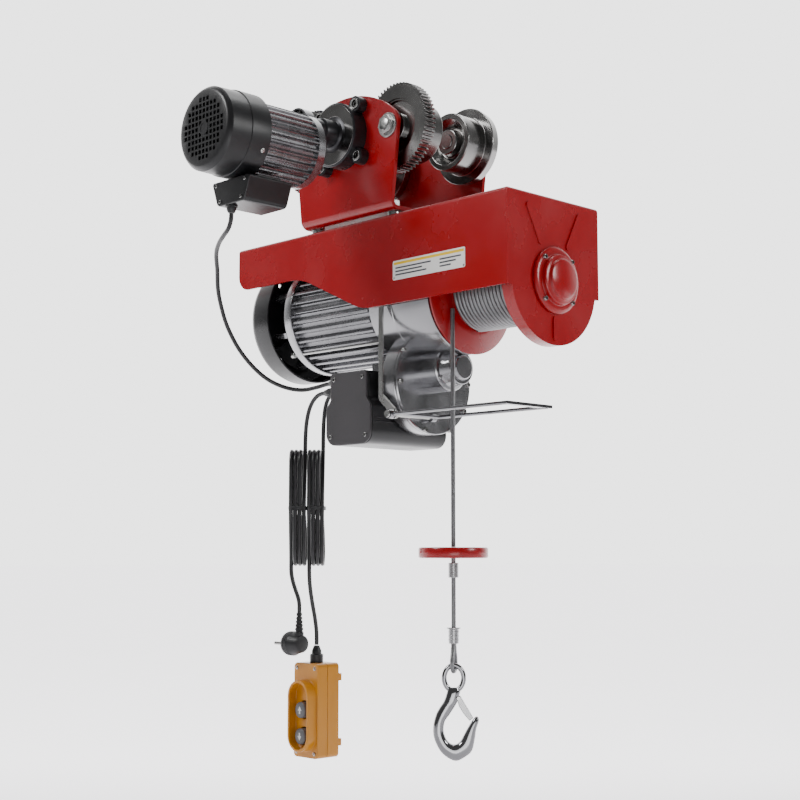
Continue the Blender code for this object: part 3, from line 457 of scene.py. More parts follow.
def cord_curve(name, points, diameter, material):
    """A round cord whose centreline is one open spline, in metres."""
    data = bpy.data.curves.new(name, "CURVE")
    data.dimensions = "3D"
    spline = data.splines.new("POLY")
    spline.points.add(len(points) - 1)
    for target, place in zip(spline.points, points):
        target.co = (*(float(v) * MM for v in place), 1)
        target.radius = 1
    data.bevel_depth = diameter / 2 * MM
    data.bevel_resolution = 4
    data.use_fill_caps = True
    data.materials.append(MATERIALS[material])
    spline.use_smooth = True
    made = bpy.data.objects.new(name, data)
    bpy.context.scene.collection.objects.link(made)
    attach(made, "root")
    return made


def hank_route(centre, depths):
    """A cord down through a hank: three full turns between four downward runs, one at each depth.

    The turns are wide along AWAY and stacked along ACROSS.
    """
    radius, top, bottom = HANK_RADIUS, HANK_TOP_Z, HANK_BOTTOM_Z
    middle = (top + bottom) / 2
    local = [(0, depths[0], -392), (-1, depths[0], -400), (-6, depths[0], -420), (-13, depths[0], -445),
             (0.6 - radius, depths[0], middle), (-radius, depths[0], bottom + 20)]
    for i in range(3):
        here, after = depths[i], depths[i + 1]
        for k in range(11):
            turn = math.pi + math.pi * k / 10
            local.append((radius * math.cos(turn), here, bottom + radius * math.sin(turn)))
        for k in range(1, 6):
            share = k / 6
            eased = share * share * (3 - 2 * share)
            local.append((radius, here + (after - here) * eased, bottom + (top - bottom) * share))
        for k in range(11):
            turn = math.pi * k / 10
            local.append((radius * math.cos(turn), after, top + radius * math.sin(turn)))
        if i < 2:
            local += [(-radius, after, top + (bottom - top) * share) for share in (0.25, 0.5, 0.75)]
    last = depths[3]
    local += [(-radius, last, top - 20), (0.6 - radius, last, middle), (-13, last, -496), (-6, last, -521),
              (-1, last, -541), (0, last, -549)]
    return [
        (centre[0] + a * AWAY[0] + d * ACROSS[0], centre[1] + a * AWAY[1] + d * ACROSS[1], z)
        for a, d, z in local
    ]


def make_hank_tie(name, centre):
    """A flat ring round the middle of a hank."""
    reach = 9
    ends = [(centre[0] + side * reach * AWAY[0], centre[1] + side * reach * AWAY[1]) for side in (-1, 1)]
    piece(f"{name}_hank_tie", prism(stadium(*ends, 13.6, 12), "Z", -474, -469), "rubber", bevel=0.3,
          cuts=[prism(stadium(*ends, 12.7, 12), "Z", -480, -460)])


def make_cords():
    travel = [
        (-8, -280, -96.5), (-9, -280, -106), (-17, -278, -115), (-34, -273, -121), (-56, -264, -127),
        (-77, -252, -136), (-97, -235, -152), (-116, -219, -175), (-129, -202, -199),
        (-136, -186, -222), (-139, -165, -248), (-138, -141, -271), (-131, -118, -289),
        (-117, -97, -300), (-98, -82, -304), (-78, -72, -301), (-63, -69.2, -298.4), (-52.8, -69, -298),
    ]
    mains_upper = [
        (-52.8, -78.5, -312), (-60, -78.5, -312.2), (-70, -78.2, -315), (-81, -77.3, -322.5),
        (-90, -76, -334.5), (-96.5, -74.6, -351), (-99.6, -73.6, -369), (-100.5, -73.3, -387.5),
    ]
    mains_lower = [
        (-113.5, -86.7, -553.5), (-113.2, -86.5, -563), (-111, -85.2, -575), (-107.3, -82.8, -588),
        (-104, -80.7, -599), (-103, -80, -608), (-103, -80, -617.6),
    ]
    pendant_upper = [
        (-52.8, -60, -312), (-58, -60, -312.3), (-66, -59.7, -316), (-73, -58.8, -326),
        (-78, -57.4, -341), (-81.2, -56, -360), (-82.3, -55.4, -387.5),
    ]
    pendant_lower = [
        (-95.3, -68.8, -553.5), (-95.4, -68.4, -568), (-96, -66, -585), (-97.2, -61, -605),
        (-98.6, -55, -625), (-99.4, -51.2, -643), (-99.5, -50.5, -655), (-99.5, -50.5, -663.5),
    ]
    depths = [HANK_PITCH * (1.5 - k) for k in range(4)]
    cords = {
        "travel_motor_lead": travel,
        "mains_lead": mains_upper + hank_route(MAINS_HANK, depths) + mains_lower,
        "pendant_cable": pendant_upper + hank_route(PENDANT_HANK, depths) + pendant_lower,
    }
    stands_for = {
        "travel_motor_lead": ["travel_lead"],
        "mains_lead": ["mains_lead_upper", "mains_lead_hank", "mains_lead_lower"],
        "pendant_cable": ["pendant_cable_upper", "pendant_cable_hank", "pendant_cable_lower"],
    }
    plug = make_plug()
    for name, route in cords.items():
        points = smooth_route(route, 4.5)
        made = cord_curve(name, points, LEAD_DIAMETER, "sheath")
        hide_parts(*stands_for[name])
    make_hank_tie("mains", MAINS_HANK)
    make_hank_tie("pendant", PENDANT_HANK)


def make_plug():
    """The right-angle mains plug, its two pins and its ribbed strain relief."""
    y, z = -80, -661
    section = [
        (-125.6, 0), (-125.6, 14.6), (-124.8, 15.8), (-123, 16.5), (-113, 16.5), (-111, 16), (-106, 14),
        (-97, 12), (-95.6, 11), (-95, 9), (-95, 0),
    ]
    neck = turned([(-668, 0), (-668, 6.5), (-645.4, 6.5), (-644.6, 5.7), (-644.6, 0)], "Z", (-103, y), 40)
    body = piece("mains_plug", turned(section, "X", (y, z), 64), "rubber", "root", ["plug_body"],
                 joins=[neck], bevel=0.4)
    grip = []
    for k in range(3):
        low = -121 + 3.2 * k
        ridge = turned(tube_section(11.9, 17, low, -119.4 + 3.2 * k), "X", (y, z), 64)
        grip.append(piece(f"plug_grip_{k}", ridge, "rubber", bevel=0.3))
    pins = []
    for label, side in (("near", -1), ("far", 1)):
        at = (y + 9.5 * side, z)
        pins.append(piece(f"plug_pin_{label}", turned(
            [(-145, 0), (-145, 1.2), (-143.6, 2.3), (-124, 2.3), (-124, 0)], "X", at, 24), "steel"))
    relief = [(-617.8, 0), (-617.8, 3.7)]
    for k in range(5):
        top = -619 - 5 * k
        radius = 3.9 + 0.45 * k
        relief += [(top, radius), (top - 2.6, radius + 0.25), (top - 3.2, radius - 0.7),
                   (top - 4.4, radius - 0.6)]
    relief += [(-644.2, 6.2), (-644.2, 0)]
    sleeve = piece("plug_sleeve", turned(relief, "Z", (-103, y), 40), "rubber", "root",
                   ["plug_strain_relief"])
    return [body, sleeve, *grip, *pins]


# Trolley

def make_side_plate(name, side):
    """A trolley side plate: an arched plate whose bottom is bent in to a foot."""
    outer, inner, bend = side * 90, side * 84, 12
    profile = [(inner, 110), (outer, 110)]
    for k in range(9):
        turn = math.pi / 2 * k / 8
        profile.append((side * (78 + bend * math.cos(turn)), -62 - bend * math.sin(turn)))
    profile += [(side * 50, -74), (side * 50, -68)]
    for k in range(9):
        turn = math.pi / 2 * (1 - k / 8)
        profile.append((side * (78 + 6 * math.cos(turn)), -62 - 6 * math.sin(turn)))
    radius, reach = 149.7, math.asin(100 / 149.7)
    arch = []
    for k in range(41):
        turn = reach * (1 - 2 * k / 40)
        arch.append((radius * math.sin(turn), 98 - radius + radius * math.cos(turn)))
    outline = [(-92, -78), (92, -78), (106.5, 47)] + arch + [(-106.5, 47)]
    window = prism(outline, "Y", min(0, side * 120), max(0, side * 120))
    mesh = carved(prism(profile, "X", -120, 120), ("INTERSECT", window))
    holes = [cylinder("Z", (x, side * 70), 5.3, -80, -60, 24) for x in (-78, 78)]
    piece(name + "_skin", mesh, "red", "root", [name], bevel=0.7, cuts=holes)


def make_axle(node, x, side):
    """A domed nut on a washer outside the plate, and the axle's plain end inside."""
    def at(along):
        return side * along
    bar = [(at(92), 0), (at(92), 10), (at(24.5), 10), (at(24), 9.4), (at(24), 0)]
    piece(node + "_bar", turned(bar, "Y", (x, WHEEL_Z), 48), "steel", "root", [node])
    washer = turned([(at(90.1), 0), (at(90.1), 17), (at(91.8), 17), (at(92.2), 16.4), (at(92.2), 0)],
                    "Y", (x, WHEEL_Z), 48)
    piece(node + "_washer", washer, "nut")
    piece(node + "_nut", prism(hexagon((x, WHEEL_Z), 13.6, 0.2), "Y", *sorted((at(92.2), at(97)))), "nut",
          bevel=0.7)
    dome = [(at(96), 0), (at(96), 10)] + [
        (at(96 + 3 * math.sin(math.pi / 2 * k / 6)), 10 * math.cos(math.pi / 2 * k / 6)) for k in range(1, 6)
    ] + [(at(99), 0)]
    piece(node + "_dome", turned(dome, "Y", (x, WHEEL_Z), 36), "nut")


def make_wheels():
    for label, x, first in (("left", -87, 0.0), ("right", 87, math.pi / 60)):
        centre = (x, WHEEL_Z)
        rim = prism(gear_outline(60, 2, centre, first), "Y", -77, -60)
        tread = [
            (-79, 10.2), (-79, 19), (-78, 20), (-66, 20), (-64, 24), (-66, 41), (-26, 41), (-25, 40),
            (-25, 33),
            (-26, 32), (-36, 22), (-36, 20), (-26, 18), (-25, 17), (-25, 10.2),
        ]
        body = f"wheel_{label}"
        piece(f"drive_gear_{label}", rim, "steel", body, [f"drive_wheel_{label}"], bevel=0.25,
              cuts=[cylinder("Y", centre, 39.5, -90, -72.8, 72), cylinder("Y", centre, 16, -80, -50, 48)])
        piece(f"drive_tread_{label}", turned(tread, "Y", centre), "steel", body, bevel=0.5)
        ridge = turned(tube_section(36.5, 39.4, -75.5, -72), "Y", centre)
        piece(f"drive_ridge_{label}", ridge, "steel", body, bevel=0.4)
        flange = [
            (79, 10.2), (79, 19), (78, 20), (70, 20), (68, 26), (70, 38), (74, 42), (75, 43), (75, 51),
            (74, 52.6), (61, 55), (60, 54.4), (60, 42), (59, 41), (26, 41), (25, 40), (25, 33), (26, 32),
            (36, 22),
            (36, 20), (26, 18), (25, 17), (25, 10.2),
        ]
        piece(f"idler_{label}_turned", turned(flange, "Y", centre), "steel", f"idler_{label}",
              [f"idler_wheel_{label}"], bevel=0.4)


def make_trolley():
    make_side_plate("trolley_plate_front", -1)
    make_side_plate("trolley_plate_rear", 1)
    for label, x in (("left", -87), ("right", 87)):
        make_axle(f"axle_front_{label}", x, -1)
        make_axle(f"axle_rear_{label}", x, 1)
    make_wheels()
    for i, (x, y) in enumerate((x, y) for x in (-78, 78) for y in (-70, 70)):
        add_nut(f"foot_nut_{i}", "Z", (x, y), -66.6, -58.8, 9.2, 0.2)
        washer = turned([(-68, 5.1), (-68, 10), (-66.6, 10), (-66.6, 5.1)], "Z", (x, y), 40)
        piece(f"foot_washer_{i}", washer, "nut")
        thread = []
        for k in range(12):
            z = -81 + 2.15 * k
            thread += [(z, 4.6), (z + 1.0, 5.2), (z + 2.0, 4.6)]
        piece(f"foot_stud_{i}", turned([(-81, 0), *thread, (-54.6, 4.2), (-54.6, 0)], "Z", (x, y), 24), "nut")
        spacer = turned([(-82, 5.4), (-82, 9.3), (-74.2, 9.3), (-74.2, 5.4)], "Z", (x, y), 40)
        piece(f"foot_spacer_{i}", spacer, "nut", bevel=0.3)


# Travel drive

def make_travel_drive():
    housing_centre = (0, WHEEL_Z)
    motor_centre = (0, TRAVEL_Z)
    section = [
        (-163.7, 6.3), (-163.7, 15.4), (-163, 16), (-140, 16), (-137.5, 18.6), (-135, 19), (-117, 19),
        (-114, 21), (-112.9, 24), (-112.9, 43.6), (-111.6, 45), (-90.3, 45), (-90.3, 38), (-109, 38),
        (-109, 6.3),
    ]
    ears, holes = [], []
    for quarter, at in enumerate(ring(housing_centre, 52, 4, 48)):
        ears.append(cylinder("Y", at, 11, -104, -90.5, 36))
        holes.append(cylinder("Y", at, 5.6, -110, -96, 24))
        collar = turned(tube_section(5.0, 7.6, -105.2, -103.4), "Y", at, 36)
        piece(f"ear_ring_{quarter}", collar, "nut", bevel=0.3)
        add_screw(f"ear_screw_{quarter}", "Y", at, -103.2, -98, 4.6, "gear")
    piece("travel_reduction", turned(section, "Y", housing_centre, 120), "dark", "root",
          ["travel_gear_housing"], joins=ears, cuts=holes, bevel=0.4)
    face = turned(tube_section(25.5, 42.4, -113.5, -112.4), "Y", housing_centre, 120)
    piece("travel_reduction_face", face, "steel", bevel=0.3)
    fins = prism(fin_outline(motor_centre, 28, 45, 50), "Y", -265, -180)
    piece("travel_stator", fins, "fins", "root", ["travel_motor_body"],
          cuts=[cylinder("Y", motor_centre, 39, -270, -170, 48)])
    bell = [
        (-179.7, 8), (-179.7, 50), (-168.5, 50), (-165.5, 47.5), (-164.2, 43), (-164.2, 8),
    ]
    piece("travel_bell", turned(bell, "Y", motor_centre, 120), "cast", "root", ["travel_end_bell"], bevel=0.4,
          joins=[cylinder("Y", housing_centre, 23.5, -179, -164.6, 64)],
          cuts=[prism(stadium(motor_centre, housing_centre, 21.2), "Y", -185, -167.5),
                cylinder("Y", housing_centre, 6.4, -172, -160, 32)])
    for k, at in enumerate(ring(motor_centre, 44.5, 4)):
        add_screw(f"travel_bell_screw_{k}", "Y", at, -162.6, -166.5, 3.2)
    cover = [
        (-332, 0), (-332, 48.5), (-331.3, 50.6), (-329, 53), (-326, 55), (-297, 55.7), (-296.2, 56.9),
        (-295, 57), (-266.4, 57), (-266, 56.6), (-266, 54.5), (-327, 52.5), (-329.5, 49), (-329.5, 0),
    ]
    squares = []
    pitch, hole = 7.6, 5.2
    for row in range(-5, 6):
        for column in range(-5, 6):
            a, b = row * pitch, column * pitch
            if 10.5 < math.hypot(a, b) < 40:
                squares.append(block((a - hole / 2, -336, TRAVEL_Z + b - hole / 2),
                                     (a + hole / 2, -326, TRAVEL_Z + b + hole / 2)))
    piece("travel_cowl", turned(cover, "Y", motor_centre, 128), "black", "root", ["travel_fan_cover"],
          cuts=[merge(*squares)])
    piece("travel_cowl_ring", turned(tube_section(6.5, 9, -332.4, -331.4), "Y", motor_centre, 64), "black")
    for k in range(3):
        angle = math.radians(90 + 120 * k)
        low = 56.6
        head = [(low, 0), (low, 3.4), (low + 1.2, 3.2), (low + 2, 2), (low + 2, 0)]
        screw = turned(head, "Z", (0, -275), 20)
        screw.transform(Matrix.Translation((0, 0, TRAVEL_Z)) @ Matrix.Rotation(angle - math.pi / 2, 4, "Y"))
        piece(f"travel_cowl_screw_{k}", screw, "nut")
    make_terminal_box()
    repaint("gear", "travel_pinion", "travel_rotor")
    repaint("steel", "travel_output_shaft")
    repaint("black", "travel_fan")


def make_terminal_box():
    outline = rounded([(-40, -52.8, 3), (-28, -86, 8), (28, -86, 8), (40, -52.8, 3)], 10)
    box = prism(outline, "Y", -288, -217)
    pedestal = block((-22, -262, -60), (22, -222, -45.3))
    piece("terminal_box", box, "black", "root", ["travel_terminal_box"], bevel=1.2, joins=[pedestal])
    for i, (x, z) in enumerate(((-30, -58), (30, -58), (-22, -80), (22, -80))):
        add_screw(f"terminal_screw_{i}", "Y", (x, z), -289.3, -287, 2.4)
    nose = [(-84, 0), (-84, 8), (-88, 8), (-88.6, 6.6), (-92, 6.2), (-95.7, 4.4), (-95.7, 0)]
    piece("terminal_gland", turned(nose, "Z", (-8, -280), 32), "rubber")


# Frame and drum

def make_frame():
    left, right, top, sheet = -237, 300, -82, 3
    side = rounded([
        (left, top, 4), (left, -144.5, 22), (-95, -144.5, 110), (35, -204.5, 80), (right, -204.5, 0),
        (right, top, 4),
    ], 14)
    section = rounded([(-90, -300, 0), (90, -300, 0), (90, top, 5), (-90, top, 5)], 8)
    drum_centre = (0, DRUM_Z)
    shell = carved(
        prism(side, "Y", -90, 90), ("INTERSECT", prism(section, "X", left - 5, right + 5)),
        ("DIFFERENCE", block((left - 10, -87, -320), (right - sheet, 87, top - sheet))),
        ("UNION", cylinder("X", drum_centre, 83, right - sheet, right, 128)))
    rim = carved(turned(tube_section(80, 83, 283, 299), "X", drum_centre, 128),
                 ("DIFFERENCE", block((260, -100, -204), (320, 100, -80))))
    ribs = [prism(stadium(a, b, 4.5, 10), "X", right - 1, right + 2)
            for a, b in (((-50, -100), (-27, -143)), ((50, -100), (27, -143)), ((0, -240), (0, -263)))]
    heads = [prism(hexagon((x, y), 9.5, 0.2), "Z", -92.6, -85) for x in (-78, 78) for y in (-70, 70)]
    piece("frame_shell", shell, "red", "root", ["hoist_frame"], bevel=0.9, joins=[rim, *ribs],
          cuts=[cylinder("X", drum_centre, 14, 290, 310, 48)])
    piece("hanger_bolt_heads", merge(*heads), "nut", bevel=0.5)


def make_end_bearing():
    boss = [
        (300.3, 12.3), (300.3, 42), (301, 43), (304, 43), (305.5, 41), (306.3, 38), (306.3, 33.5),
        (307, 32.6),
        (311.5, 32), (312.6, 31), (313.2, 27), (314, 26), (317, 25), (318.3, 22), (318.3, 0), (315.3, 0),
        (315.3, 12.3),
    ]
    piece("bearing_cap", turned(boss, "X", (0, DRUM_Z), 112), "red", "root", ["end_bearing_housing"],
          bevel=0.3)
    for k, at in enumerate(ring((0, DRUM_Z), 37.6, 4)):
        add_screw(f"bearing_screw_{k}", "X", at, 309.4, 304, 3.2, "nut")


def make_drum():
    section = [
        (153, 78.6), (153.8, 80), (156, 80), (156.8, 79), (160.5, 56), (161, 54), (161, 45), (282.5, 45),
        (282.5, 75.2), (283.4, 76), (285.2, 76), (286, 75.2), (286, 12.3), (276, 12.3), (276, 41), (157, 41),
    ]
    piece("spool", turned(section, "X", (0, DRUM_Z), 120), "red", "drum", ["rope_drum"])
    turns, sides = 18, 48
    start = 166.2
    pitch = 6.28
    centre_radius = 48.2
    helix = []
    for k in range(turns * sides + 1):
        angle = 2 * math.pi * k / sides - math.pi / 2
        helix.append((start + pitch * k / sides, *around((0, DRUM_Z), centre_radius, angle)))
    piece("wound_rope", rope_mesh(helix, 2.95, 12), "rope", "drum", ["rope_winding"])
    repaint("steel", "drum_shaft")


def rope_mesh(points, radius, sides, strand_pitch=15.0):
    """A rope whose section has six ridges, for its strands, that twist along it."""
    points = [Vector(p) for p in points]
    mesh = bmesh.new()
    loops = []
    normal = points[0].orthogonal().normalized()
    run = 0.0
    count = sides * 2
    for i, here in enumerate(points):
        before, after = points[max(0, i - 1)], points[min(len(points) - 1, i + 1)]
        run += (here - before).length
        along = (after - before).normalized()
        normal = (normal - along * normal.dot(along)).normalized()
        across = along.cross(normal)
        twist = 2 * math.pi * run / (strand_pitch * 2)
        loop = []
        for k in range(count):
            angle = 2 * math.pi * k / count
            bulge = abs(math.cos(3 * (angle + twist)))
            reach = radius * (0.86 + 0.14 * bulge**0.7)
            loop.append(mesh.verts.new(here + reach * (normal * math.cos(angle) + across * math.sin(angle))))
        loops.append(loop)
    return skin(mesh, loops)


# Gearbox

def make_gearbox():
    upper, lower = (0, DRUM_Z), (0, LOWER_Z)
    upper_case = [(35, 0), (35, 77.5), (36.5, 79), (79.2, 79), (80, 78.2), (80, 0)]
    lower_case = [(55, 0), (55, 70.5), (56.5, 72), (79.1, 72), (79.8, 71.3), (79.8, 0)]
    piece("gear_case", turned(upper_case, "X", upper, 120), "cast", "root", ["gearbox_case"], bevel=0.3,
          joins=[turned(lower_case, "X", lower, 118)],
          cuts=[cylinder("X", upper, 76, 56, 90, 64), cylinder("X", lower, 69, 58, 90, 60),
                cylinder("X", upper, 9, 30, 60, 32)])
    drum_side = [
        (80.3, 76.5), (80.3, 79), (146, 79), (148.5, 78), (150, 75.5), (150, 62), (135, 62), (135, 14),
        (131, 14), (131, 76.5),
    ]
    plate = [(80.5, 0), (80.5, 72), (83.8, 72), (85, 70.8), (85, 0)]
    boss = [
        (80.7, 0), (80.7, 30.5), (116.4, 30.5), (118, 29), (118.6, 25), (120, 24), (136, 23), (137, 22),
        (137, 18), (141, 16.5), (142, 15), (142, 0),
    ]
    pad = block((90, -40, -114), (130, 40, -85.3))
    piece("gear_cover", turned(drum_side, "X", upper, 120), "cast", "root", ["gearbox_cover"], bevel=0.4,
          joins=[turned(plate, "X", lower, 116), turned(boss, "X", (0, SHAFT_Z), 72), pad],
          cuts=[cylinder("X", upper, 76.3, 75, 130.6, 60), cylinder("X", (0, SHAFT_Z), 28, 74, 117, 40),
                cylinder("X", (0, SHAFT_Z), 8.3, 110, 134, 24)])
    for k, (y, z) in enumerate(((-58, -262), (-64, -305), (-49, -348), (-18, -368), (30, -366), (58, -338),
                                (66, -300), (60, -262))):
        add_screw(f"cover_screw_{k}", "X", (y, z), 88.4, 83, 3.6)
    for k, at in enumerate(ring((0, SHAFT_Z), 26.8, 3, 90)):
        add_screw(f"boss_screw_{k}", "X", at, 120.4, 116, 2.3)
    repaint("gear", "first_stage_gear", "drum_gear")
    repaint("steel", "intermediate_shaft")


# Hoist motor

def make_hoist_motor():
    centre = (0, DRUM_Z)
    fins = prism(fin_outline(centre, 34, 73, 80), "X", -124, 34.7)
    piece("hoist_stator", fins, "fins", "root", ["hoist_motor_body"],
          cuts=[cylinder("X", centre, 64, -130, 40, 64)])
    bell = [
        (-143, 8.5), (-143, 77), (-142, 80.5), (-140, 82.4), (-138, 83), (-125.3, 83), (-124.3, 82),
        (-124.3, 66),
        (-136, 64), (-136, 8.5),
    ]
    ribs = []
    for rib in range(8):
        angle = 2 * math.pi * (rib + 0.5) / 8
        out, side = (math.cos(angle), math.sin(angle)), (-math.sin(angle), math.cos(angle))
        ribs.append(prism([
            (out[0] * r + side[0] * s, DRUM_Z + out[1] * r + side[1] * s)
            for r, s in ((66, -4), (77, -4), (77, 4), (66, 4))
        ], "X", -172, -142))
    piece("hoist_bell", turned(bell, "X", centre, 120), "cast", "root", ["hoist_end_bell"], joins=ribs,
          bevel=0.5)
    cover = [
        (-212, 0), (-212, 76), (-211.4, 80), (-209, 85), (-205, 88.6), (-200, 90.6), (-197, 91), (-168, 91),
        (-167, 90.2), (-167, 88.5), (-199, 88.5), (-206, 86), (-209, 77), (-209, 0),
    ]
    slots = []
    for slot in range(6):
        angle = 2 * math.pi * slot / 6
        ends = [around(centre, radius, angle) for radius in (30, 66)]
        slots.append(prism(stadium(*ends, 3.5, 8), "X", -216, -204))
    piece("hoist_cowl", turned(cover, "X", centre, 120), "black", "root", ["hoist_fan_cover"],
          cuts=[merge(*slots)], bevel=0.3)
    for k, at in enumerate(ring(centre, 80.6, 4)):
        rod = turned([(-146, 0), (-146, 2), (36, 2), (36, 0)], "X", at, 16)
        piece(f"tie_rod_{k}", rod, "nut")
        add_nut(f"tie_nut_{k}", "X", at, -149.5, -143.2, 4.4)
    repaint("black", "hoist_fan")
    repaint("gear", "hoist_rotor", "brake_disc")


# Control box

def make_control_box():
    def outline(inset):
        return rounded([
            (-28 + inset, -288 - inset, 5), (-28 + inset, -325, 4), (-37 + inset, -336, 4),
            (-37 + inset, -388 + inset, 18), (53 - inset, -388 + inset, 18), (53 - inset, -336, 4),
            (45 - inset, -325, 4), (45 - inset, -288 - inset, 5),
        ], 10)
    piece("control_case", prism(outline(0), "Y", -86, 57), "black", "root", ["control_box_shell"], bevel=0.9)
    piece("control_lid", prism(outline(0), "Y", -90, -86.3), "grey", "root", ["control_box_front"], bevel=1.3)
    piece("control_gasket", prism(outline(1.2), "Y", -86.5, -85.8), "rubber")
    for i, (x, z) in enumerate(((-20, -297), (37, -297), (-27, -376), (43, -376))):
        add_screw(f"lid_screw_{i}", "Y", (x, z), -91.4, -89, 3.0)
    for i, z in enumerate((-352, -358)):
        piece(f"control_rib_{i}", block((51.5, -80, z - 0.8), (53.6, 52, z + 0.8)), "black", bevel=0.4)
    bracket = block((-4, -34, -287.7), (49, 34, -270.3))
    piece("control_saddle", bracket, "cast", "root", ["control_box_bracket"], bevel=1.0)
    plate = rounded_box(-86, -52, -320.5, -290, 3)
    noses = []
    for k, (y, z) in enumerate(((-69, -298), (-78.5, -312), (-60, -312))):
        noses.append(turned([(-52, 0), (-52, 3.9), (-51, 4.4), (-46, 5.4), (-45, 5.7), (-36, 5.8), (-36, 6.8),
                             (-30, 6.8), (-30, 0)], "X", (y, z), 40))
        add_nut(f"gland_nut_{k}", "X", (y, z), -42.5, -36.5, 7.3, 0.3, "rubber")
    piece("cord_glands", prism(plate, "X", -32, -28.3), "rubber", "root", ["cable_glands"], joins=noses,
          bevel=0.3)


# Limit fork

def make_limit_fork():
    strap = rounded([
        (65, -178, 2), (65, -330, 6), (87, -350, 3), (88, -358, 2), (98, -358, 2), (99, -345, 4),
        (73, -323, 5), (73, -178, 2),
    ])
    piece("fork_strap", prism(strap, "Y", -86.6, -84), "nut", "root", ["limit_strap"], bevel=0.4)
    pin = [(-98, 0), (-98, 4.6), (-97.4, 5), (-96, 5), (-96, 3), (-6, 3), (-6, 0)]
    piece("fork_pin", turned(pin, "Y", (93, -352), 32), "nut")
    piece("fork_pin_nut", prism(hexagon((93, -352), 5.6), "Y", -83.8, -79.6), "nut", bevel=0.4)
    z = -352
    meshes = []
    for y, low, high in ((-90, -95, -87.5), (-12, -16, -8)):
        meshes.append(turned(tube_section(3.2, 6, low, high), "Y", (93, z), 40))
        meshes.append(cylinder("X", (y, z), 2.5, 97.6, 296, 20))
    meshes.append(cylinder("Y", (106, z), 2.5, -90, -12, 20))
    meshes.append(prism(rounded_box(-94, -8, z - 2, z + 2, 1.2, 4), "X", 292, 301))
    piece("fork_bars", merge(*meshes), "chrome", "fork", ["limit_fork"], bevel=0.3)


# Rope and hook

def hook_frame():
    return Matrix.Translation((ROPE[0], ROPE[1], 0)) @ Matrix.Rotation(HOOK_YAW, 4, "Z")


def make_rope():
    line = [(ROPE[0], ROPE[1], z) for z in np.linspace(ROPE_TOP_Z, STOP_TOP_Z + 0.3, 160)]
    rope = piece("hoist_rope", rope_mesh(line, ROPE_RADIUS, 12), "rope", "root", ["wire_rope"])
    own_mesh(rope)
    disc = [
        (-541, 3.4), (-541, 42.5), (-540.3, 44.2), (-539, 45), (-529, 45), (-527.7, 44.2), (-527, 42.5),
        (-527, 3.4),
    ]
    piece("stop_weight", turned(disc, "Z", ROPE, 112), "red", "hook_line", ["stop_disc"])
    make_rope_end()


def make_rope_end():
    tail = [(ROPE[0], ROPE[1], z) for z in np.linspace(STOP_TOP_Z, -646, 80)]
    eye_half = [
        (3.2, -646), (3.4, -652), (5.2, -660), (8.5, -667), (9.8, -674), (8.3, -680.5), (4.6, -684.2),
    ]
    route = [(-s, 0, z) for s, z in eye_half] + [(0, 0, -685)] + [(s, 0, z) for s, z in reversed(eye_half)]
    turn = hook_frame() @ Matrix.Rotation(math.radians(75), 4, "Z")
    loop = [turn @ Vector(p) for p in smooth_route(route, 1.3)]
    piece("rope_tail", rope_mesh(tail, ROPE_RADIUS, 12), "rope", "hook_line", ["rope_end"])
    piece("rope_loop", rope_mesh(loop, ROPE_RADIUS - 0.25, 12), "rope", "hook_line")
    upper = [(-566, 3.1), (-566, 5.8), (-565.4, 6.5), (-547.6, 6.5), (-547, 5.8), (-547, 3.1)]
    lower = [
        (-650, 2.6), (-650, 5.6), (-649.2, 6.5), (-632, 6.5), (-631.2, 7.4), (-631, 9), (-629.5, 9),
        (-629.3, 7),
        (-629.3, 3.1),
    ]
    piece("ferrule_upper", turned(upper, "Z", ROPE, 48), "ferrule", "hook_line")
    piece("ferrule_lower", turned(lower, "Z", ROPE, 48), "ferrule", "hook_line", bevel=0.2)
    bands = [turned(tube_section(6.2, 6.9, z, z + 2.2), "Z", ROPE, 48) for z in (-646, -641, -636)]
    piece("ferrule_bands", merge(*bands), "ferrule", "hook_line", bevel=0.3)


HOOK_RIBS = [
    # outer side, inner side and half depth of the hook's bar, from its neck to its tip
    ((-7.5, -705), (6.5, -705), 5.0), ((-9, -711), (8, -711), 6.6), ((-12.6, -721.5), (4.6, -723), 7),
    ((-18.5, -730.5), (-0.5, -731.5), 7), ((-23, -739), (-5.5, -739), 7), ((-26.6, -753), (-11.6, -748), 7),
    ((-25.8, -768), (-13, -760), 7), ((-19, -783), (-9.5, -770), 7.2), ((-10, -792), (-4.5, -775), 7.4),
    ((1.7, -797), (0.5, -776.4), 7.4), ((12.5, -793), (5.5, -774.4), 7.2), ((22.5, -784.5), (9, -770.5), 7),
    ((26.4, -770), (14.3, -760.6), 6.6), ((28.5, -757), (19, -752.5), 6), ((31.6, -747.5),
    (23.5, -745.7), 5.2),
    ((31.4, -743.4), (26.5, -742.2), 3.6), ((30.2, -741.6), (28.6, -741.2), 1.0),
]


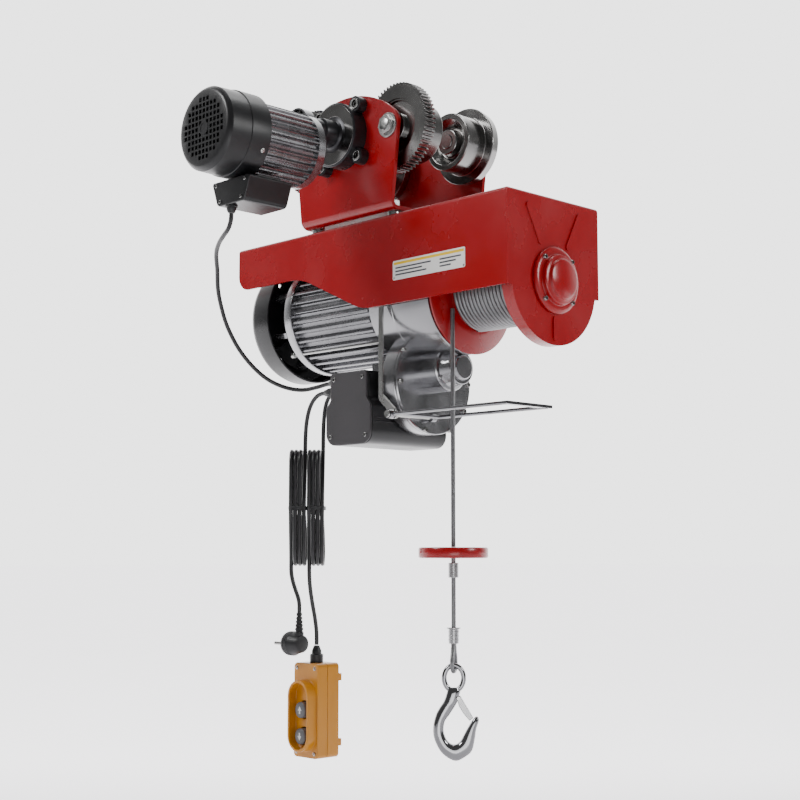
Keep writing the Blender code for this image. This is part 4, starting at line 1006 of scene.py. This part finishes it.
def make_hook():
    """A forged hook: rounded sections along its bar, an oval eye, and a sprung latch on its pin."""
    dense = spline([[*outer, *inner, depth] for outer, inner, depth in HOOK_RIBS], 6)
    mesh = bmesh.new()
    loops = []
    sides = 28
    for ox, oz, ix, iz, depth in dense:
        middle = Vector(((ox + ix) / 2, 0, (oz + iz) / 2))
        half = Vector(((ox - ix) / 2, 0, (oz - iz) / 2))
        loop = []
        for k in range(sides):
            angle = 2 * math.pi * k / sides
            c, s = math.cos(angle), math.sin(angle)
            c, s = math.copysign(abs(c)**0.8, c), math.copysign(abs(s)**0.8, s)
            loop.append(mesh.verts.new(middle + half * c + Vector((0, depth * s, 0))))
        loops.append(loop)
    skin(mesh, loops)
    oval = [(12.4 * math.cos(2 * math.pi * k / 72), 0, -693.3 + 16 * math.sin(2 * math.pi * k / 72))
            for k in range(72)]
    mesh.transform(hook_frame())
    eye = swept_loop(oval, 3.3, 20)
    eye.transform(hook_frame())
    slot_cut = block((0.5, -3.2, -729), (14, 3.2, -713))
    slot_cut.transform(hook_frame())
    piece("forged_hook", mesh, "chrome", "hook", ["load_hook"], joins=[eye], cuts=[slot_cut])
    pin = turned([(-8.4, 0), (-8.4, 2.2), (-7.2, 2.4), (-7.2, 1.5), (7.2, 1.5), (7.2, 2.4), (8.4, 2.2),
                  (8.4, 0)], "Y", (5.6, -718.5), 24)
    pin.transform(hook_frame())
    piece("latch_pin", pin, "nut", "hook")
    outline = rounded([
        (2.8, -716, 1.5), (8.2, -715.4, 2), (12, -722, 8), (24.6, -743, 1), (19.8, -747, 1), (12, -738, 8),
        (6.3, -729, 6),
    ], 6)
    latch = prism(outline, "Y", -2.6, 2.6)
    latch.transform(hook_frame())
    piece("safety_latch", latch, "ferrule", "latch", ["hook_latch"], bevel=0.8)


# Pendant

def make_pendant():
    x, top, bottom, half = -99.5, -688, -818, 25.5
    outline = rounded_box(x - half, x + half, bottom, top, 6, 12)
    seat = (x, -733), (x, -787)
    wells = [cylinder("Y", (x, z), 12.3, -80, -60, 48) for z in (-752, -788)]
    piece("pendant_case_front", prism(outline, "Y", -70, -52), "yellow", "root", ["pendant_front"], bevel=1.6,
          joins=[prism(stadium(*seat, 22, 24), "Y", -85, -68)],
          cuts=[prism(stadium(*seat, 18.5, 24), "Y", -95, -72), *wells])
    lugs = [block((x + 8, -34, z - 5), (x + half - 2, -24, z + 5)) for z in (top - 20, bottom + 20)]
    piece("pendant_case_rear", prism(outline, "Y", -51.7, -31), "yellow", "root", ["pendant_rear"], bevel=1.6,
          joins=lugs)
    piece("pendant_seal", prism(rounded_box(x - half + 0.8, x + half - 0.8, bottom + 0.8, top - 0.8, 5), "Y",
                                -52.2, -51.5), "rubber")
    # A near-black sheet under the button wells: painted shade for the dark seen in the gaps round the buttons
    piece("pendant_well", prism(stadium(*seat, 18, 24), "Y", -66, -62), "painted_well_shade")
    cap = [(-81, 0), (-81, 8.6), (-80.6, 10), (-79.5, 11), (-64.5, 11), (-64.5, 13.5), (-62.5, 13.5),
           (-62.5, 0)]
    for name, body, z, up in (("button_up", "up_button", -752, 1), ("button_down", "down_button", -788, -1)):
        piece(name + "_cap", turned(cap, "Y", (x, z), 56), "button", body, [name])
        arrow = [(x - 3.6, z - 0.6 * up), (x + 3.6, z - 0.6 * up), (x, z + 5.2 * up)]
        stem = [(x - 1.2, z - 0.6 * up), (x + 1.2, z - 0.6 * up), (x + 1.2, z - 5 * up),
                (x - 1.2, z - 5 * up)]
        shapes = merge(prism(arrow, "Y", -81.25, -80.8), prism(stem, "Y", -81.25, -80.8))
        piece(name + "_arrow", shapes, "mark", body)
    for k, (dx, z) in enumerate(((-19, top - 7), (19, top - 7), (-19, bottom + 7), (19, bottom + 7))):
        add_screw(f"pendant_screw_{k}", "Y", (x + dx, z), -71, -69, 2.6)
    gland = [
        (-664.3, 0), (-664.3, 3.9), (-668, 5.4), (-671, 6.8), (-675.4, 7), (-676, 8.6), (-677, 9.5),
        (-687.7, 9.5), (-687.7, 0),
    ]
    piece("pendant_nose", turned(gland, "Z", (x, -50.5), 48), "rubber", "root", ["pendant_gland"])


# Printed marks, with no lettering

def make_rating_plate():
    face = -90.45
    piece("rating_plate", prism(rounded_box(97, 229, -174, -148, 2), "Y", face, -89.9), "plate")
    piece("rating_stripe", block((99, face - 0.12, -153.6), (227, face + 0.05, -150.2)), "stripe")
    lines = []
    for row, (start, end) in enumerate(((102, 168), (102, 152), (102, 160))):
        z = -158 - 4.6 * row
        lines.append(block((start, face - 0.12, z - 1), (end, face + 0.05, z + 1)))
        lines.append(block((184, face - 0.12, z - 1), (222 - 9 * row, face + 0.05, z + 1)))
    piece("rating_bars", merge(*lines), "ink")
    rivet = [(face - 0.7, 0), (face - 0.5, 1.2), (face + 0.1, 1.6), (face + 0.1, 0)]
    rivets = [turned(rivet, "Y", (x, -171.6), 16) for x in (99.6, 226.4)]
    piece("rating_rivets", merge(*rivets), "nut")


# Stage

def make_stage():
    data = bpy.data.meshes.new("floor")
    mesh = bmesh.new()
    signs = ((-1, -1), (1, -1), (1, 1), (-1, 1))
    corners = [mesh.verts.new((a * FLOOR_REACH, b * FLOOR_REACH, 0)) for a, b in signs]
    mesh.faces.new(corners)
    mesh.to_mesh(data)
    mesh.free()
    floor = bpy.data.objects.new("floor", data)
    floor.location.z = FLOOR_Z
    paint = surface("floor_paint", (0.86, 0.85, 0.88), 0.7, mottle=0.01, mottle_scale=2, grain=60, bump=0.01)
    shader = paint.node_tree.nodes["Principled BSDF"]
    shader.inputs["Emission Color"].default_value = (1, 0.985, 1, 1)
    glow = level_behind(paint.node_tree, "Object", (-0.5, 1.2), (0, 2.1))
    paint.node_tree.links.new(glow, shader.inputs["Emission Strength"])
    data.materials.append(paint)
    bpy.context.scene.collection.objects.link(floor)
    world = bpy.data.worlds.new("studio")
    bpy.context.scene.world = world
    world.use_nodes = True
    make_sky(world.node_tree)


def make_lights():
    lights = (
        ("key", (-0.9, -2.1, 1.5), 1.0, 46), ("side", (2.3, 0.7, 0.5), 0.7, 20),
        ("top", (0.2, 0.3, 2.4), 1.4, 42), ("under", (1.2, -1.0, -0.9), 0.7, 5),
    )
    for name, place, size, power in lights:
        light = bpy.data.lights.new(name, "AREA")
        light.size = size
        light.energy = power
        lamp = bpy.data.objects.new(name, light)
        lamp.location = place
        aim = Vector((0, 0, -0.3)) - Vector(place)
        lamp.rotation_euler = aim.to_track_quat("-Z", "Y").to_euler()
        bpy.context.scene.collection.objects.link(lamp)


def level_behind(tree, coordinate, span, levels):
    """A socket that goes from the first level to the second over a span measured away behind the object."""
    nodes, links = tree.nodes, tree.links
    place = nodes.new("ShaderNodeTexCoord")
    depth = nodes.new("ShaderNodeVectorMath")
    depth.operation = "DOT_PRODUCT"
    depth.inputs[1].default_value = AWAY
    links.new(place.outputs[coordinate], depth.inputs[0])
    level = nodes.new("ShaderNodeMapRange")
    level.interpolation_type = "SMOOTHSTEP"
    level.inputs["From Min"].default_value, level.inputs["From Max"].default_value = span
    level.inputs["To Min"].default_value, level.inputs["To Max"].default_value = levels
    links.new(depth.outputs["Value"], level.inputs["Value"])
    return level.outputs["Result"]


def make_sky(tree):
    """A white backdrop behind the object that falls off to grey on the other sides."""
    background = tree.nodes["Background"]
    background.inputs["Color"].default_value = (1, 1, 1, 1)
    tree.links.new(level_behind(tree, "Generated", (0.1, 0.9), (0.16, 3.0)), background.inputs["Strength"])


make_camera()
make_cords()
make_trolley()
make_travel_drive()
make_frame()
make_end_bearing()
make_drum()
make_gearbox()
make_hoist_motor()
make_control_box()
make_limit_fork()
make_rope()
make_hook()
make_pendant()
make_rating_plate()
make_stage()
make_lights()
